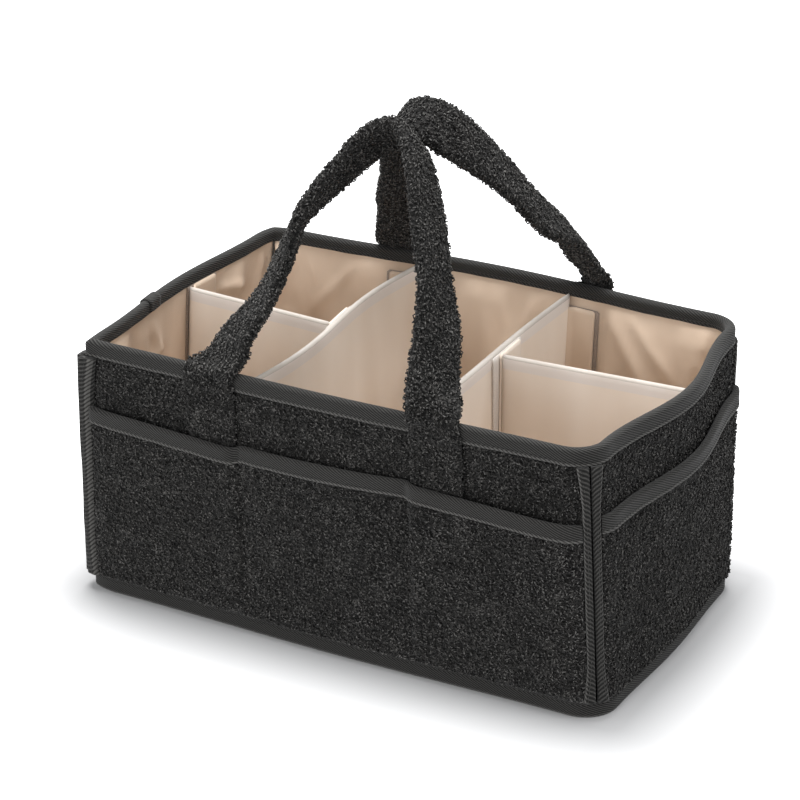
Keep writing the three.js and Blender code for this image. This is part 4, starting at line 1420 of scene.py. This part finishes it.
def flap_and_loop(name, side):
    """A divider's flap on a wall, and the loop tape that it grips."""
    if side == name:
        label, solid, body = f"{name}_end", f"{name}_wall_loop_tape", f"{name}_short_divider"
        length, top, past = flap_length, flap_top, 3 * mm
    else:
        label, solid, body = f"{side}_{name}", f"{side}_{name}_loop_tape", f"{name}_cross_divider"
        length, top, past = wall_flap_length, wall_flap_top, 3.4 * mm

    def flap_place(run, z):
        wave = flap_wave * wander(run, z, flap_wave_cell, seeds["flap"]) * clamp(run / flap_wave_from)
        offset = -flap_middle - stand * bell(run, stand_run) - wave * (side != name)
        return beside_divider(name, side, flap_start + run, offset, z)

    def loop_place(run, z):
        return beside_divider(name, side, run - divider_half, -loop_middle, z)

    loop_length = length + past + divider_half
    flap = ribbon(f"{label}_flap", length, top, flap_place, flap_thickness, lining_satin)
    loop = ribbon(f"{label}_loop", loop_length, top, loop_place, loop_thickness, shaded_wall_loop_finish)
    return [finish_piece(flap, body, "divider_cloth"), finish_piece(loop, "bag", "loop_tape", solid)]


strips = []
for name in outward_of:
    for side in (name, "front", "back"):
        strips += flap_and_loop(name, side)
report(strips)

# %% Tabs and loop tapes on the long dividers
# How much further back the foot of a loop tape starts than its top
loop_slant = 6 * mm


def tab_and_loop(name):
    """A short divider's tab, and the loop tape on the long divider that it grips."""
    middle = short_cross_y[name]
    loop_start, loop_end = middle - 11 * mm, middle + flap_length + 3 * mm
    loop_length, tab_length = loop_end - loop_start, flap_length + divider_half
    loop_off = divider_half + clearance + loop_thickness / 2
    tab_off = divider_half + 2 * clearance + loop_thickness + flap_thickness / 2

    def tab_place(run, z):
        return beside_cross(name, middle - divider_half + run, tab_off, z)

    def loop_place(run, z):
        slide = loop_slant * (1 - run / loop_length) * (flap_top - z) / (flap_top - flap_bottom)
        return beside_cross(name, loop_start + slide + run, loop_off, z)

    tab = ribbon(f"{name}_cross_tab", tab_length, flap_top, tab_place, flap_thickness, divider_satin)
    loop = ribbon(f"{name}_cross_loop", loop_length, flap_top, loop_place, loop_thickness,
                  divider_loop_finish)
    return [finish_piece(tab, "bag", "divider_cloth", f"{name}_short_divider_tab"),
            finish_piece(loop, f"{name}_cross_divider", "loop_tape", f"{name}_divider_loop_tape")]


report(tab_and_loop("left") + tab_and_loop("right"))

# %% [markdown]
# ## Stitches
# Each seam shows a row of short stitches. One stitch is a small flattened bead. It is copied along
# every row, with its length along the row, and all the copies of a row make one mesh.

# %% Stitches
bead = small_shape(bpy.ops.mesh.primitive_uv_sphere_add, segments=6, ring_count=4, radius=1)
stitch_length, stitch_pitch, stitch_width = 2.3 * mm, 3.1 * mm, 0.5 * mm


def stitch_row(name, place, length):
    """Stitches at an even pitch along place(share), a line on the cloth with its outward side."""
    count = int(length / stitch_pitch)
    share = (np.arange(count) + 0.5) / count
    step = 0.3 / count
    centre, out = place(share)
    ahead = unit(place(share + step)[0] - place(share - step)[0])
    out = unit(out - ahead * np.sum(ahead * out, 1)[:, None])
    side_way = np.cross(out, ahead)
    axes = np.stack([ahead * stitch_length / 2, side_way * stitch_width / 2, out * stitch_width / 2], 1)
    return finish_piece(copies(name, bead, centre, axes, thread), "bag", "binding_tape")


def seam(place, offset, z=None, way=1):
    """A line of stitches on a surface, with the surface's outward side, or its inward side for way -1."""
    def line(share):
        points, beyond = [place(share, offset + more, z) for more in (0, way * mm)]
        return points, unit(beyond - points)

    return line


above_tape, into_fin = 0.05 * mm, 0.1 * mm
rows = [
    stitch_row(name, seam(around, offset, z, way), round_length) for name, offset, z, way in (
        ("rim_stitches", rim_outer + above_tape, height - rim_outer_leg + stitch_from_edge, 1),
        ("rim_inner_stitches", rim_inner - above_tape, height - rim_inner_leg + stitch_from_edge, -1),
        ("base_stitches", rim_outer + above_tape, base_tape_top - stitch_from_edge, 1))
]
for side in sides:
    half = wall_half(side, pocket_top, pocket_end)

    def along_tape(share, offset, z):
        return on_pocket(side, (2 * share - 1) * half, offset + pocket_cloth + clearance + tape, z)

    line = seam(along_tape, above_tape, pocket_top - pocket_tape_leg + stitch_from_edge)
    rows.append(stitch_row(f"{side}_pocket_stitches", line, 2 * half - 2 * mm))
    for sign, end in wall_sides:
        def along_fin(share, offset, _):
            z = fin_low + share * (fin_high - fin_low)
            distance = fin_gap / 2 + fin_reach(z) - stitch_from_edge
            return on_wall(side, sign * (wall_half(side, z) - distance), offset, z)

        line = seam(along_fin, fin_face(side, sign) - into_fin)
        rows.append(stitch_row(f"{side}_{end}_fin_stitches", line, fin_high - fin_low - 4 * mm))
report(rows)

# %% Board finish
for name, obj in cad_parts.items():
    if name.endswith("_board"):
        obj.data.materials.clear()
        obj.data.materials.append(board)
